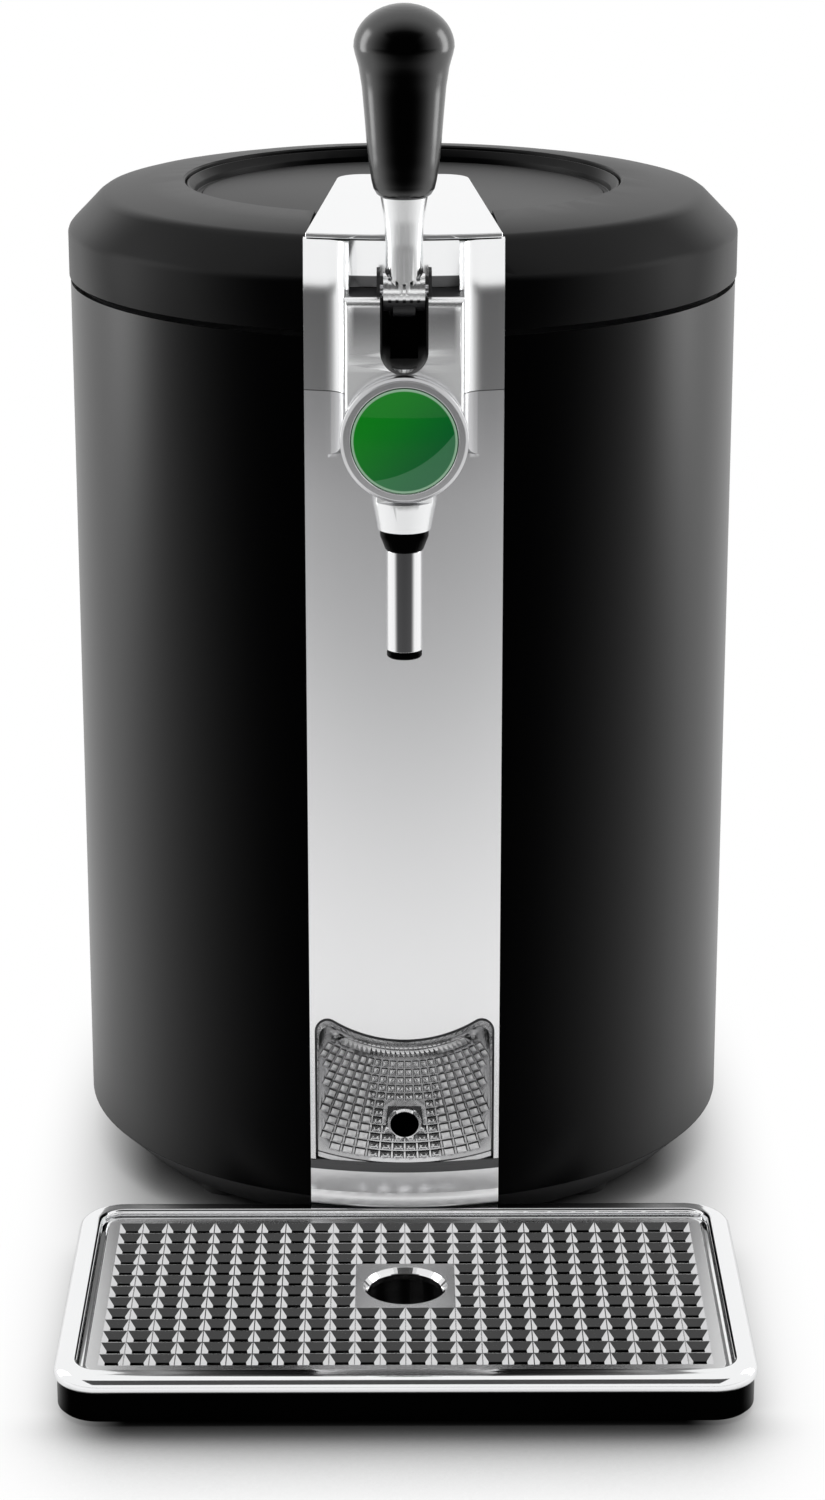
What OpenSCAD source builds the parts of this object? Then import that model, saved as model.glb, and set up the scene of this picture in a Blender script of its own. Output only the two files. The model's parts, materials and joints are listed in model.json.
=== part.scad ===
// Mini keg beer dispenser: insulated round casing, hinged lid, tap column and drip tray.
// The origin is the middle of the footprint on the table, +Z is up and the tap faces -Y.
// Module bodies measure from the casing's own axis, and on_axis() moves them into the frame.

/* [Casing] */
// Outside diameter of the round casing
casing_d = 265; // [255:1:290]
// Wall of the casing
casing_wall = 2.5; // [1.5:0.1:3]
// Gap from the table to the underside of the base
base_lift = 6; // [4:0.5:10]
// Diameter of the base where it is narrowest
base_d = 236; // [230:1:240]
// Height of the slanted skirt of the base
base_skirt_h = 14; // [12:0.5:18]
// Thickness of the base floor
base_floor = 3; // [2:0.5:4]
// Diameter of a rubber foot
foot_d = 24; // [18:1:28]

/* [Cooling] */
// Inside diameter of the drum that holds the keg
drum_d = 172; // [170:1:180]
// Wall of the drum
drum_wall = 1.6; // [1:0.1:2.5]
// Free height above the drum's floor
chamber_h = 258; // [255:1:275]
// Width of the square fan
fan_w = 120; // [100:1:120]
// Height of the fan
fan_h = 25; // [22:1:30]
// Height of the finned heat sink
sink_h = 35; // [25:1:45]
// Number of fins on the heat sink
sink_fins = 17; // [8:1:20]
// Height of the cold block under the drum
block_h = 18; // [12:1:24]
// Number of fan blades
fan_blades = 7; // [5:1:9]

/* [Lid] */
// Step from the casing out to the lid's rim
lid_step = 0.5; // [0:0.1:2]
// Dark gap between the casing and the lid
lid_gap = 2.3; // [1.5:0.1:4]
// Height of the lid's upright rim
lid_rim_h = 18.4; // [14:0.2:24]
// Width of the slanted band above the rim
lid_bevel_w = 14; // [8:0.5:20]
// Height of the slanted band above the rim
lid_bevel_h = 14; // [8:0.5:20]
// Wall of the lid
lid_wall = 2.5; // [2:0.1:3]
// Radius of the round recess in the lid
recess_r = 86.5; // [70:0.5:95]
// Rise of the lid from the band to the recess
lid_crown = 3.9; // [2:0.1:6]
// Depth of the round recess
recess_depth = 6.8; // [5:0.1:8]

/* [Column] */
// Width of the column
column_w = 73.5; // [66:0.5:80]
// How far the column stands out of the casing
column_proud = 7.5; // [6:0.5:10]
// Thickness of the column's sheet
column_wall = 1.75; // [1:0.05:2]
// Drop from the casing's top edge to the joint line of the column
seam_drop = 18.4; // [12:0.2:24]
// Height of the foot's lower edge above the table
foot_z = 20.8; // [19.8:0.1:24]

/* [Splash niche] */
// Height of the splash grid's front edge
niche_z = 39.7; // [38:0.1:50]
// Slope of the splash grid
niche_slope = 40.5; // [36:0.5:45]
// Slope of the niche's roof
roof_slope = 24.5; // [20:0.5:30]
// Radius of the curved upper edge
niche_arc_r = 55; // [48:1:70]
// Length of the opening up to the middle of the curved edge
niche_reach = 46; // [40:0.5:50]
// Rounding of the two upper corners
niche_corner_r = 4; // [2:0.5:5]
// Radius of the innermost row of pits
pit_row_r = 58.8; // [57:0.1:62]
// Spacing of the rows of pits
pit_row_step = 3.6; // [3:0.1:5]
// Number of rows of pits
pit_rows = 12; // [6:1:12]
// Angle between columns of pits
pit_angle = 2.92; // [2.5:0.01:4]
// Diameter of the drain in the splash grid
splash_drain_d = 13.3; // [8:0.1:14]

/* [Tap] */
// Width of the tap head
tap_w = 43; // [40:0.5:44]
// How far the tap head stands out of the column
tap_reach = 22; // [20:0.5:26]
// Drop from the tap head's top to the centre of the badge
badge_drop = 51; // [46:0.5:56]
// Radius of the badge's ring
badge_r = 23.3; // [22:0.1:25]
// Radius of the badge's lens
lens_r = 19.2; // [16:0.1:20]
// Width of the lever's slot
slot_w = 17.4; // [16:0.1:19]
// Depth of the slot below the tap head's top
slot_drop = 28.2; // [24:0.2:30]
// Radius of the beer line's way through the spout
spout_bore_r = 4.6; // [4:0.1:5]
// Length of the chrome spout tube
spout_len = 37.8; // [25:0.1:60]
// Diameter of the chrome spout tube
spout_d = 13.5; // [12:0.1:15]
// How far the tower's shoulders sweep forward beside the tap head
flare_reach = 11; // [8:0.5:14]
// How far the tower leans back above the lid's rim
tower_lean = 8; // [4:0.5:10]

/* [Lever] */
// Radius of the lever's hub
hub_r = 7; // [6:0.1:7.5]
// Radius of the lever's pin
lever_pin_r = 2.5; // [2:0.1:3]
// Length of the lever's stem above its pin
stem_len = 34.2; // [32:0.2:60]
// Height of the knob
knob_h = 68; // [55:0.5:80]
// Largest radius of the knob
knob_r = 17.9; // [15:0.1:20]

/* [Drip tray] */
// Width of the drip tray
tray_w = 254; // [240:1:270]
// Distance from the casing's axis to the tray's front
tray_front = 282; // [250:1:300]
// Corner radius of the tray
tray_corner_r = 17; // [15:0.5:22]
// Height of the tray's underside
tray_lift = 1.5; // [1:0.1:2.5]
// Height at which the black trough ends and the rim starts
trough_top_z = 13.5; // [12:0.1:14]
// Height of the chrome rim
rim_h = 6; // [5:0.1:6]
// Width of the chrome rim
rim_w = 8.7; // [7:0.1:9]
// Spacing of the square pits
pit_pitch = 9.27; // [8:0.01:9.3]
// Number of pits across the tray
pit_cols = 24; // [12:2:24]
// Number of pits from back to front
pit_lines = 13; // [9:2:13]
// Diameter of the drain hole in the drip grid
drain_d = 27.8; // [20:0.1:30]

/* [Clearances] */
// Gap round a piece that is set into another
fit_gap = 0.3; // [0.2:0.05:0.5]
// Radial gap of a running pin
run_gap = 0.05; // [0.02:0.01:0.1]
// Gap between the lid and the tower that stands in front of it
lid_run_gap = 0.8; // [0.6:0.1:1.2]
// Dark gap on each side of the top plate
plate_gap = 1.5; // [0.8:0.1:2]

/* [Hidden] */
$fn = 96;
eps = 0.02;
big = 600;

casing_r = casing_d / 2;
casing_in_r = casing_r - casing_wall;
base_r = base_d / 2;
base_top_z = base_lift + base_skirt_h;
casing_z = base_top_z + 0.2;
floor_z = base_lift + base_floor;
lip_wall = 2.5;
lip_top_z = base_top_z + 10;
lip_r = casing_in_r - fit_gap;
foot_bore_r = 5;

// Cooling stack, from the base floor up to the drum
boss_h = 5;
boss_r = 4;
fan_z = floor_z + boss_h;
sink_z = fan_z + fan_h;
module_z = sink_z + sink_h;
module_h = 4;
block_z = module_z + module_h;
drum_z = block_z + block_h;
drum_floor = 2;
drum_r = drum_d / 2;
drum_rim_z = drum_z + drum_floor + chamber_h;
drum_rim_t = 1.5;
drum_rim_w = 8;
sink_w = 110;
sink_base_t = 6;
sink_fin_t = 1.5;
module_w = 40;
block_w = 60;
fan_bore_r = fan_w / 2 - 3;
fan_hub_r = 20;
fan_axle_r = 3;
fan_blade_t = 1.6;
fan_tilt = 42;
fan_screw_at = fan_w / 2 - 7.5;
chassis_z = drum_z + 8;
chassis_t = 4;
leg_at = 72;
leg_w = 14;
screw_r = 2;
screw_head_r = 4;
screw_head_h = 1.6;
screw_len = 14;
foam_z = chassis_z + chassis_t;

// Top deck, which closes the casing
deck_h = 8.7;
casing_top_z = drum_rim_z + deck_h;
gasket_r = 97;
gasket_w = 6;
gasket_seat = 2.7;
line_half = 4;
line_in = 60;
line_z = casing_top_z + fit_gap;
line_top_z = line_z + 6;

// Control board, in the room between the fan frame and the casing
board_gap = 10;
board_wall_gap = 24;
board_out = casing_in_r - board_wall_gap;
board_w = board_out - fan_w / 2 - board_gap;
board_l = 60;
board_t = 1.6;
board_x = board_out - board_w / 2;
relay_w = 10;
relay_l = 14;
relay_h = 9;
chip_h = 4;
capacitor_r = 4;
capacitor_h = 11;
plug_w = 7;
plug_l = 12;
plug_h = 6;

// Rear panel with louvres, inlet and switch
panel_half = 60;
panel_z = lip_top_z + 1.7;
panel_h = 64;
panel_top_z = panel_z + panel_h;
panel_t = 5.3;
louvre_h = 3.4;
louvre_pitch = 7;
louvre_w = 40;
port_x = 40;
port_z = panel_z + 20;
port_face_y = casing_r - 11.5;
port_plate_t = 2.5;
inlet_w = 26.4;
inlet_h = 19;
inlet_depth = 21;
socket_w = 22.4;
socket_h = 14.4;
socket_depth = 17;
switch_w = 20.8;
switch_h = 15.2;
rocker_tilt = 8;
rocker_y = port_face_y - 3;

// Lid
lid_r = casing_r + lid_step;
lid_z = casing_top_z + lid_gap;
rim_top_z = lid_z + lid_rim_h;
bevel_r = lid_r - lid_bevel_w;
bevel_z = rim_top_z + lid_bevel_h;
crown_z = bevel_z + lid_crown;
recess_z = crown_z - recess_depth;
liner_t = 2.5;
liner_z = line_top_z + 0.2;
foam_top_z = rim_top_z + 0.6;

// Top plate, the chrome tongue that covers the beer line
plate_z = crown_z + 0.7;
plate_t = 2;
plate_front_half = column_w / 2 - 0.45;
plate_rear_half = 25.5;
plate_rear_y = 4;
plate_corner_r = 11;
plate_front_r = casing_r + column_proud - (plate_z - rim_top_z) * tan(tower_lean);
plate_skirt_z = rim_top_z + 3.6;
plate_taper = atan((plate_front_half - plate_rear_half) / (plate_front_r + plate_rear_y));

// Hinge at the rear of the lid
knuckle_r = 6;
hinge_pin_r = 2.5;
hinge_y = lid_r + knuckle_r + 1;
hinge_z = lid_z + knuckle_r;
hinge_half = 34;
arm_half = 11.6;
bracket_t = 3.2;
bracket_h = 26;
rear_reach = hinge_y + knuckle_r;
axis_y = (tray_front - rear_reach) / 2;

// Column and tower
column_half = column_w / 2;
column_r = casing_r + column_proud;
seam_z = casing_top_z - seam_drop;
flare_out = 28.2;
flare_in = 20;
flare_fade_h = 24;
lean_step = 0.08;
tap_back = column_r - 2.5;
tap_front = column_r + tap_reach;
tap_half = tap_w / 2;
tap_z = rim_top_z - 0.4;
tap_corner = 2.5;
face_y = tap_front - 1.7;
face_bend_r = 190;
face_mid_z = tap_z - 13.7;
lip_round = 4;
badge_z = tap_z - badge_drop;
badge_t = 5.7;
lens_seat = 1.5;
lens_dome_r = 110;
slot_half = slot_w / 2;
slot_low_z = tap_z - slot_drop;
slot_back = column_r + 1.5;
liner_wall = 0.7;
cheek_t = 1.2;
cheek_h = 9;
pivot_y = tap_front - 11;
pivot_z = tap_z + 0.8;
hub_half = slot_half - 1.2;
spout_y = tap_front - 8;
cone_top_r = 11.8;
cone_low_r = 9.8;
cone_h = 11;
cone_z = badge_z - badge_r - 0.7 - cone_h;
collar_h = 8;
collar_z = cone_z - collar_h;
tube_z = collar_z - spout_len;
tip_h = 3;
tip_z = tube_z - tip_h;
cam_offset = 5;
cam_r = 4;
cam_rest = 15;
jaw_front = pivot_y - 2;
jaw_t = 2;
jaw_low_z = slot_low_z + 4;
jaw_top_z = pivot_z - hub_r - 1;
stem_top_z = pivot_z + stem_len;
spigot_r = 5;
spigot_h = 19;

// Splash niche. Lengths s run in the plane that is square to the roof.
niche_half = column_half - column_wall - 1;
niche_front = column_r - 1;
niche_wall = 0.8;
niche_in = 60;
niche_out = 80;
splash_t = 2;
niche_corner_x = niche_half - niche_corner_r;
niche_corner_s = niche_reach + niche_arc_r
    - sqrt(pow(niche_arc_r + niche_corner_r, 2) - pow(niche_corner_x, 2));
slope_turn = 90 - roof_slope - niche_slope;
niche_top_t = niche_reach / cos(slope_turn);
pit_centre_t = niche_top_t + 50.9;
pit_depth = 1.3;
pit_ridge = 0.35;
splash_flat_cols = 2;
splash_flat_first = 5;
splash_flat_last = 8;
splash_drain_t = 17.4;
gutter_w = 3.4;

// Drip tray
notch_y = casing_r - 2.8;
tray_back = notch_y + 0.5;
tray_d = tray_front - tray_back;
tray_y = -(tray_front + tray_back) / 2;
rim_z = trough_top_z;
rim_top = rim_z + rim_h;
rim_round = 4.2;
rim_ledge = 2.5;
grid_rest_z = rim_z + 1.1;
grid_t = 2.4;
grid_gap = 0.3;
grid_ridge = 0.4;
grid_open = 0.52;
pit_top_half = (pit_pitch - grid_ridge) / 2;
pit_low_half = pit_pitch * grid_open / 2;
channel_in = rim_w + 2.5;
channel_z = grid_rest_z + 1.2;
grid_inset = channel_in + grid_gap;
flat_cells = 2;
drain_lip = 1.9;
drain_depth = 4.2;
trough_inset = 1.2;
trough_wall = 2.4;
pad_r = 7;

// ---------- shared forms ----------

module on_axis() translate([0, axis_y, 0]) children();

// A block from low to high corners
module block(low, high) translate(low) cube(high - low);

// A ring of rectangular section about the casing's axis
module ring(r_in, r_out, z_low, z_high) {
    translate([0, 0, z_low]) difference() {
        cylinder(r = r_out, h = z_high - z_low, $fn = 180);
        translate([0, 0, -1]) cylinder(r = r_in, h = z_high - z_low + 2, $fn = 180);
    }
}

// A cylinder that lies along X, about a centre given as [y, z]
module along_x(at, r, half) {
    translate([-half, at[0], at[1]]) rotate([0, 90, 0]) cylinder(r = r, h = 2 * half);
}

// An outline drawn in the YZ plane and extruded across X
module across_x(half) {
    translate([-half, 0, 0]) rotate([90, 0, 90]) linear_extrude(height = 2 * half) children();
}

module rounded_rect(w, d, r) {
    square([w, d - 2 * r], center = true);
    square([w - 2 * r, d], center = true);
    for (x = [-1, 1], y = [-1, 1])
        translate([x * (w / 2 - r), y * (d / 2 - r)]) circle(r = r);
}

// Carries a section round a rectangle with round corners. In the section, x is the
// distance inwards from the outer face and y is the height.
module swept_frame(w, d, r) {
    for (i = [0:3]) {
        half = i % 2 == 0 ? w / 2 : d / 2;
        other = i % 2 == 0 ? d / 2 : w / 2;
        rotate([0, 0, 90 * i]) {
            translate([half, 0, 0]) rotate([90, 0, 0])
                linear_extrude(height = 2 * (other - r), center = true) mirror([1, 0]) children();
            translate([half - r, other - r, 0]) rotate_extrude(angle = 90)
                translate([r, 0]) mirror([1, 0]) children();
        }
    }
}

// ---------- base ----------

module leg_places() {
    for (x = [-1, 1], y = [-1, 1]) translate([x * leg_at, y * leg_at, 0]) children();
}

module board_places() {
    for (x = [-1, 1], y = [-1, 1])
        translate([board_x + x * (board_w / 2 - 4), y * (board_l / 2 - 4), 0]) children();
}

module base_pan() {
    color("#1b1b1d") on_axis() difference() {
        union() {
            rotate_extrude($fn = 180) polygon([
                [0, base_lift], [base_r, base_lift], [casing_r, base_top_z],
                [lip_r, base_top_z], [lip_r, lip_top_z], [lip_r - lip_wall, lip_top_z],
                [lip_r - lip_wall, base_top_z], [base_r - lip_wall + 1, floor_z], [0, floor_z]
            ]);
            for (x = [-1, 1], y = [-1, 1])
                translate([x * fan_screw_at, y * fan_screw_at, floor_z]) cylinder(r = boss_r, h = boss_h);
            board_places() translate([0, 0, floor_z]) cylinder(r = 3, h = boss_h);
        }
        block([-column_half - 1, -casing_r - 5, 0], [column_half + 1, -notch_y, base_top_z + eps]);
        for (i = [-6:6]) {
            reach = sqrt(fan_bore_r * fan_bore_r - pow(i * 8, 2)) - 3;
            block([i * 8 - 1.6, -reach, 0], [i * 8 + 1.6, reach, floor_z + 1]);
        }
        leg_places() {
            cylinder(r = screw_r + 0.2, h = floor_z + 1);
            cylinder(r = screw_head_r + fit_gap, h = base_lift + screw_head_h);
        }
    }
}

module base_feet() {
    color("#0c0c0c") on_axis() leg_places() difference() {
        cylinder(r1 = foot_d / 2 - 1, r2 = foot_d / 2, h = base_lift);
        translate([0, 0, -1]) cylinder(r = foot_bore_r, h = base_lift + 2);
    }
}

module base_screws() {
    color("#8c8f94") on_axis() leg_places() translate([0, 0, base_lift]) {
        cylinder(r = screw_head_r, h = screw_head_h);
        cylinder(r = screw_r, h = screw_len);
    }
}

// ---------- casing ----------

module panel_window(gap) {
    block([-panel_half - gap, 0, panel_z - gap], [panel_half + gap, casing_r + 5, panel_top_z + gap]);
}

module casing_shell() {
    color("#151517") on_axis() difference() {
        ring(casing_in_r, casing_r, casing_z, casing_top_z);
        niche_prism(niche_wall + fit_gap);
        panel_window(fit_gap);
    }
}

module port_boss(x) {
    block([x - 18, port_face_y - port_plate_t, port_z - 14], [x + 18, casing_r, port_z + 14]);
}

module port_pocket(x) {
    block([x - 15.5, port_face_y, port_z - 11.5], [x + 15.5, casing_r + 5, port_z + 11.5]);
}

module port_cut(x, w, h) {
    block([x - w / 2 - fit_gap, 0, port_z - h / 2 - fit_gap],
          [x + w / 2 + fit_gap, casing_r, port_z + h / 2 + fit_gap]);
}

module rear_panel() {
    color("#202124") on_axis() difference() {
        intersection() {
            panel_window(0);
            union() {
                ring(casing_r - panel_t + 0.8, casing_r + 0.8, panel_z, panel_top_z);
                intersection() {
                    translate([0, 0, panel_z]) cylinder(r = casing_r + 0.8, h = panel_h, $fn = 180);
                    union() {
                        port_boss(port_x);
                        port_boss(-port_x);
                    }
                }
            }
        }
        port_pocket(port_x);
        port_pocket(-port_x);
        port_cut(port_x, inlet_w, inlet_h);
        port_cut(-port_x, switch_w, switch_h);
        for (i = [0:7]) {
            z = panel_z + 6 + i * louvre_pitch;
            half = abs(z - port_z) < 18 ? 18 : louvre_w;
            block([-half, 0, z], [half, casing_r + 5, z + louvre_h]);
        }
    }
}

module power_inlet() {
    color("#101012") on_axis() translate([port_x, port_face_y, port_z]) difference() {
        union() {
            block([-14.8, 0, -11], [14.8, 1.5, 11]);
            block([-inlet_w / 2, -inlet_depth, -inlet_h / 2], [inlet_w / 2, 0, inlet_h / 2]);
        }
        block([-socket_w / 2, -socket_depth, -socket_h / 2], [socket_w / 2, 5, socket_h / 2]);
    }
}

module inlet_pins() {
    color("#c9ccd1") on_axis() translate([port_x, port_face_y - socket_depth, port_z]) {
        for (at = [[-7, -1.5], [7, -1.5], [0, 2]])
            block([at[0] - 1, 0, at[1] - 2.5], [at[0] + 1, 11, at[1] + 2.5]);
    }
}

module switch_frame() {
    color("#101012") on_axis() translate([-port_x, port_face_y, port_z]) difference() {
        union() {
            block([-12, 0, -9], [12, 1.2, 9]);
            block([-switch_w / 2, -15, -switch_h / 2], [switch_w / 2, 0, switch_h / 2]);
        }
        block([-switch_w / 2 + 1.4, -13, -6.2], [switch_w / 2 - 1.4, 5, 6.2]);
        along_x([-3, 0], 1.2 + run_gap, switch_w / 2 - 0.4);
    }
}

module power_rocker() {
    color("#b3121a") on_axis() translate([-port_x, rocker_y, port_z]) rotate([-rocker_tilt, 0, 0]) {
        across_x(switch_w / 2 - 1.4 - fit_gap) polygon([
            [4.8, 5.4], [3.2, 0], [4.8, -5.4], [-3, -3], [-3, 3]
        ]);
        along_x([0, 0], 1.2, switch_w / 2 - 0.6);
    }
}

// ---------- cooling ----------

module chassis_ring() {
    color("#3a3d42") on_axis() {
        ring(drum_r + drum_wall + 0.8, casing_in_r - 0.4, chassis_z, chassis_z + chassis_t);
        leg_places() difference() {
            block([-leg_w / 2, -leg_w / 2, floor_z], [leg_w / 2, leg_w / 2, chassis_z]);
            translate([0, 0, floor_z - 1]) cylinder(r = screw_r + 0.1, h = screw_len);
        }
    }
}

module insulation_ring() {
    color("#e9e4d4") on_axis()
        ring(drum_r + drum_wall + 0.5, casing_in_r - 0.6, foam_z, drum_rim_z);
}

module cooling_drum() {
    color("#c4c8cc") on_axis() difference() {
        union() {
            translate([0, 0, drum_z]) cylinder(r = drum_r + drum_wall, h = drum_rim_z - drum_z, $fn = 180);
            translate([0, 0, drum_rim_z]) cylinder(r = drum_r + drum_rim_w, h = drum_rim_t, $fn = 180);
        }
        translate([0, 0, drum_z + drum_floor]) cylinder(r = drum_r, h = big, $fn = 180);
    }
}

module cold_block() {
    color("#b9bec4") on_axis()
        block([-block_w / 2, -block_w / 2, block_z], [block_w / 2, block_w / 2, drum_z]);
}

module thermoelectric_module() {
    color("#f1f1ec") on_axis() {
        block([-module_w / 2, -module_w / 2, module_z], [module_w / 2, module_w / 2, module_z + 0.8]);
        block([-module_w / 2 + 1, -module_w / 2 + 1, module_z + 0.8],
              [module_w / 2 - 1, module_w / 2 - 1, block_z - 0.8]);
        block([-module_w / 2, -module_w / 2, block_z - 0.8], [module_w / 2, module_w / 2, block_z]);
    }
}

module heat_sink() {
    fin_step = (sink_w - sink_fin_t) / (sink_fins - 1);
    color("#9da2a8") on_axis() {
        block([-sink_w / 2, -sink_w / 2, module_z - sink_base_t], [sink_w / 2, sink_w / 2, module_z]);
        for (i = [0:sink_fins - 1])
            block([-sink_w / 2 + i * fin_step, -sink_w / 2, sink_z],
                  [-sink_w / 2 + i * fin_step + sink_fin_t, sink_w / 2, module_z - sink_base_t]);
    }
}

module fan_frame() {
    color("#141416") on_axis() {
        translate([0, 0, fan_z]) difference() {
            linear_extrude(height = fan_h) rounded_rect(fan_w, fan_w, 6);
            translate([0, 0, -1]) cylinder(r = fan_bore_r, h = fan_h + 2);
            for (x = [-1, 1], y = [-1, 1])
                translate([x * fan_screw_at, y * fan_screw_at, -1]) cylinder(r = 2.2, h = fan_h + 2);
        }
        translate([0, 0, fan_z]) cylinder(r = fan_hub_r - 2, h = 4);
        translate([0, 0, fan_z]) cylinder(r = fan_axle_r, h = 16);
        for (a = [0, 90, 180, 270]) rotate([0, 0, a])
            block([fan_hub_r - 4, -2, fan_z], [fan_bore_r + 1, 2, fan_z + 3]);
    }
}

module fan_rotor() {
    blade_w = fan_bore_r - fan_hub_r - 1;
    color("#26282c") on_axis() difference() {
        union() {
            translate([0, 0, fan_z + 5]) cylinder(r = fan_hub_r, h = fan_h - 7);
            intersection() {
                ring(fan_hub_r - 1, fan_bore_r - 2, fan_z + 5, fan_z + fan_h - 2);
                for (i = [0:fan_blades - 1]) rotate([0, 0, i * 360 / fan_blades])
                    translate([fan_hub_r - 2, 0, fan_z + fan_h / 2 + 1.5]) rotate([fan_tilt, 0, 0])
                        block([0, -fan_blade_t / 2, -fan_h], [blade_w + 4, fan_blade_t / 2, fan_h]);
            }
        }
        translate([0, 0, fan_z + 4]) cylinder(r = fan_axle_r + run_gap, h = fan_h / 2);
    }
}

module control_board() {
    color("#1f6b3a") on_axis() translate([board_x, 0, floor_z + boss_h]) {
        block([-board_w / 2, -board_l / 2, 0], [board_w / 2, board_l / 2, board_t]);
        translate([6 - board_w / 2, 8 - board_l / 2, board_t]) cube([relay_w, relay_l, relay_h]);
        translate([board_w / 2 - 6 - relay_w, 10 - board_l / 2, board_t]) cube([relay_w, relay_l, chip_h]);
        for (y = [capacitor_r, 3 * capacitor_r + 3])
            translate([0, y, board_t]) cylinder(r = capacitor_r, h = capacitor_h);
        translate([board_w / 2 - 5 - plug_w, board_l / 2 - 4 - plug_l, board_t]) cube([plug_w, plug_l, plug_h]);
    }
}

// ---------- top deck ----------

module line_way() {
    block([-line_half, -tap_back - 3, line_z], [line_half, -line_in, line_top_z]);
}

module top_deck() {
    rim_r = drum_r + drum_rim_w + 0.4;
    color("#2a2b2e") on_axis() difference() {
        rotate_extrude($fn = 180) polygon([
            [drum_r + 0.3, drum_rim_z + drum_rim_t], [rim_r, drum_rim_z + drum_rim_t],
            [rim_r, drum_rim_z], [casing_in_r - fit_gap, drum_rim_z],
            [casing_in_r - fit_gap, casing_top_z], [drum_r + 2.3, casing_top_z],
            [drum_r + 0.3, casing_top_z - 2]
        ]);
        ring(gasket_r, gasket_r + gasket_w, casing_top_z - gasket_seat, casing_top_z + 1);
    }
}

module deck_gasket() {
    color("#0a0a0a") on_axis() difference() {
        ring(gasket_r + 0.1, gasket_r + gasket_w - 0.1, casing_top_z - gasket_seat, liner_z - 0.05);
        line_way();
    }
}

// ---------- splash niche ----------

// Outline of the niche, seen along its roof
module niche_outline(grow, low) {
    tangent_x = niche_corner_x * (niche_arc_r - grow) / (niche_arc_r + niche_corner_r);
    difference() {
        union() {
            translate([-niche_half - grow, low])
                square([2 * (niche_half + grow), niche_corner_s - low]);
            translate([-tangent_x, low])
                square([2 * tangent_x, niche_reach + niche_arc_r
                    - sqrt(pow(niche_arc_r - grow, 2) - pow(tangent_x, 2)) - low]);
            for (side = [-1, 1])
                translate([side * niche_corner_x, niche_corner_s]) circle(r = niche_corner_r + grow);
        }
        translate([0, niche_reach + niche_arc_r]) circle(r = niche_arc_r - grow, $fn = 180);
    }
}

// The outline carried along the roof's slope, through the column and the casing
module niche_prism(grow, low = -9) {
    translate([0, -niche_front, niche_z]) rotate([90 - roof_slope, 0, 0])
        translate([0, 0, -niche_in]) linear_extrude(height = niche_in + niche_out) niche_outline(grow, low);
}

// Places a form on the splash grid's plane: y runs up the slope, z stands square to it
module on_slope() {
    translate([0, -niche_front, niche_z]) rotate([niche_slope, 0, 0]) children();
}

module above_slope(level) on_slope()
    block([-niche_in, -niche_in, level], [niche_in, 2 * niche_out, 2 * niche_out]);

module niche_housing() {
    color("#242527") on_axis() difference() {
        union() {
            intersection() {
                niche_prism(niche_wall);
                above_slope(-splash_t - 2);
                cylinder(r = casing_r - 0.2, h = big, $fn = 180);
            }
            intersection() {
                niche_prism(niche_wall);
                above_slope(0.1);
                cylinder(r = column_r + 0.15, h = big, $fn = 180);
            }
        }
        intersection() {
            niche_prism(0);
            above_slope(-splash_t - 0.05);
        }
        on_slope() translate([0, splash_drain_t, -10]) cylinder(r = splash_drain_d / 2 - 1, h = 20);
    }
}

// One pit of the splash grid: an upside-down pyramid that stops short of the back
module splash_pit(w, l) {
    intersection() {
        across_x(w / 2 + 1) polygon([
            [-l / 2, eps], [l / 2, eps], [l * 0.1, -pit_depth], [-l * 0.3, -pit_depth]
        ]);
        rotate([0, 0, 90]) across_x(l / 2 + 1) polygon([
            [-w / 2, eps], [w / 2, eps], [w * 0.18, -pit_depth], [-w * 0.18, -pit_depth]
        ]);
    }
}

module splash_pits() {
    for (row = [0:pit_rows - 1]) {
        r = pit_row_r + row * pit_row_step;
        first = row >= splash_flat_first && row < splash_flat_last ? splash_flat_cols : 0;
        limit = asin(min(1, (niche_half - 2) / r)) / pit_angle - 0.5;
        for (side = [-1, 1], col = [first:1:floor(limit)])
            rotate([0, 0, side * (col + 0.5) * pit_angle]) translate([0, -r, 0])
                splash_pit(2 * r * tan(pit_angle / 2) - pit_ridge, pit_row_step - pit_ridge);
    }
}

module splash_grid() {
    gutter_r = pit_row_r - pit_row_step / 2 - 1.2;
    gutter_turn = 27;
    color("#cfd2d6") on_axis() difference() {
        intersection() {
            on_slope() block([-60, -5, -splash_t], [60, 90, 0]);
            niche_prism(-0.15);
            cylinder(r = niche_front + 0.1, h = big, $fn = 180);
        }
        on_slope() {
            translate([0, pit_centre_t, 0]) {
                splash_pits();
                rotate([0, 0, -90 - gutter_turn]) rotate_extrude(angle = 2 * gutter_turn)
                    translate([gutter_r - gutter_w, -0.9]) square([gutter_w, 2]);
                for (side = [-1, 1]) rotate([0, 0, side * (gutter_turn + 3.5)])
                    translate([0, gutter_w / 2 - gutter_r, -1.2]) cylinder(r = 0.8, h = 3);
            }
            translate([0, splash_drain_t, -5]) cylinder(r = splash_drain_d / 2, h = 10);
        }
    }
}

// ---------- column ----------

module column_band(r_out, z_low, z_high) {
    intersection() {
        ring(casing_r + fit_gap, r_out, z_low, z_high);
        block([-column_half, -big, z_low], [column_half, 0, z_high]);
    }
}

// How far the front of the column lies from the casing's axis, x to one side of its middle
function column_front(x) = sqrt(column_r * column_r - x * x);

// Edge of a shoulder from its foot on the column to its inner side, as [x, y] points
function shoulder_edge() = [for (a = [0:9:90]) let (x = flare_out - (flare_out - flare_in) * sin(a))
    [x, -column_front(x) - flare_reach * (1 - cos(a))]];

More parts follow.
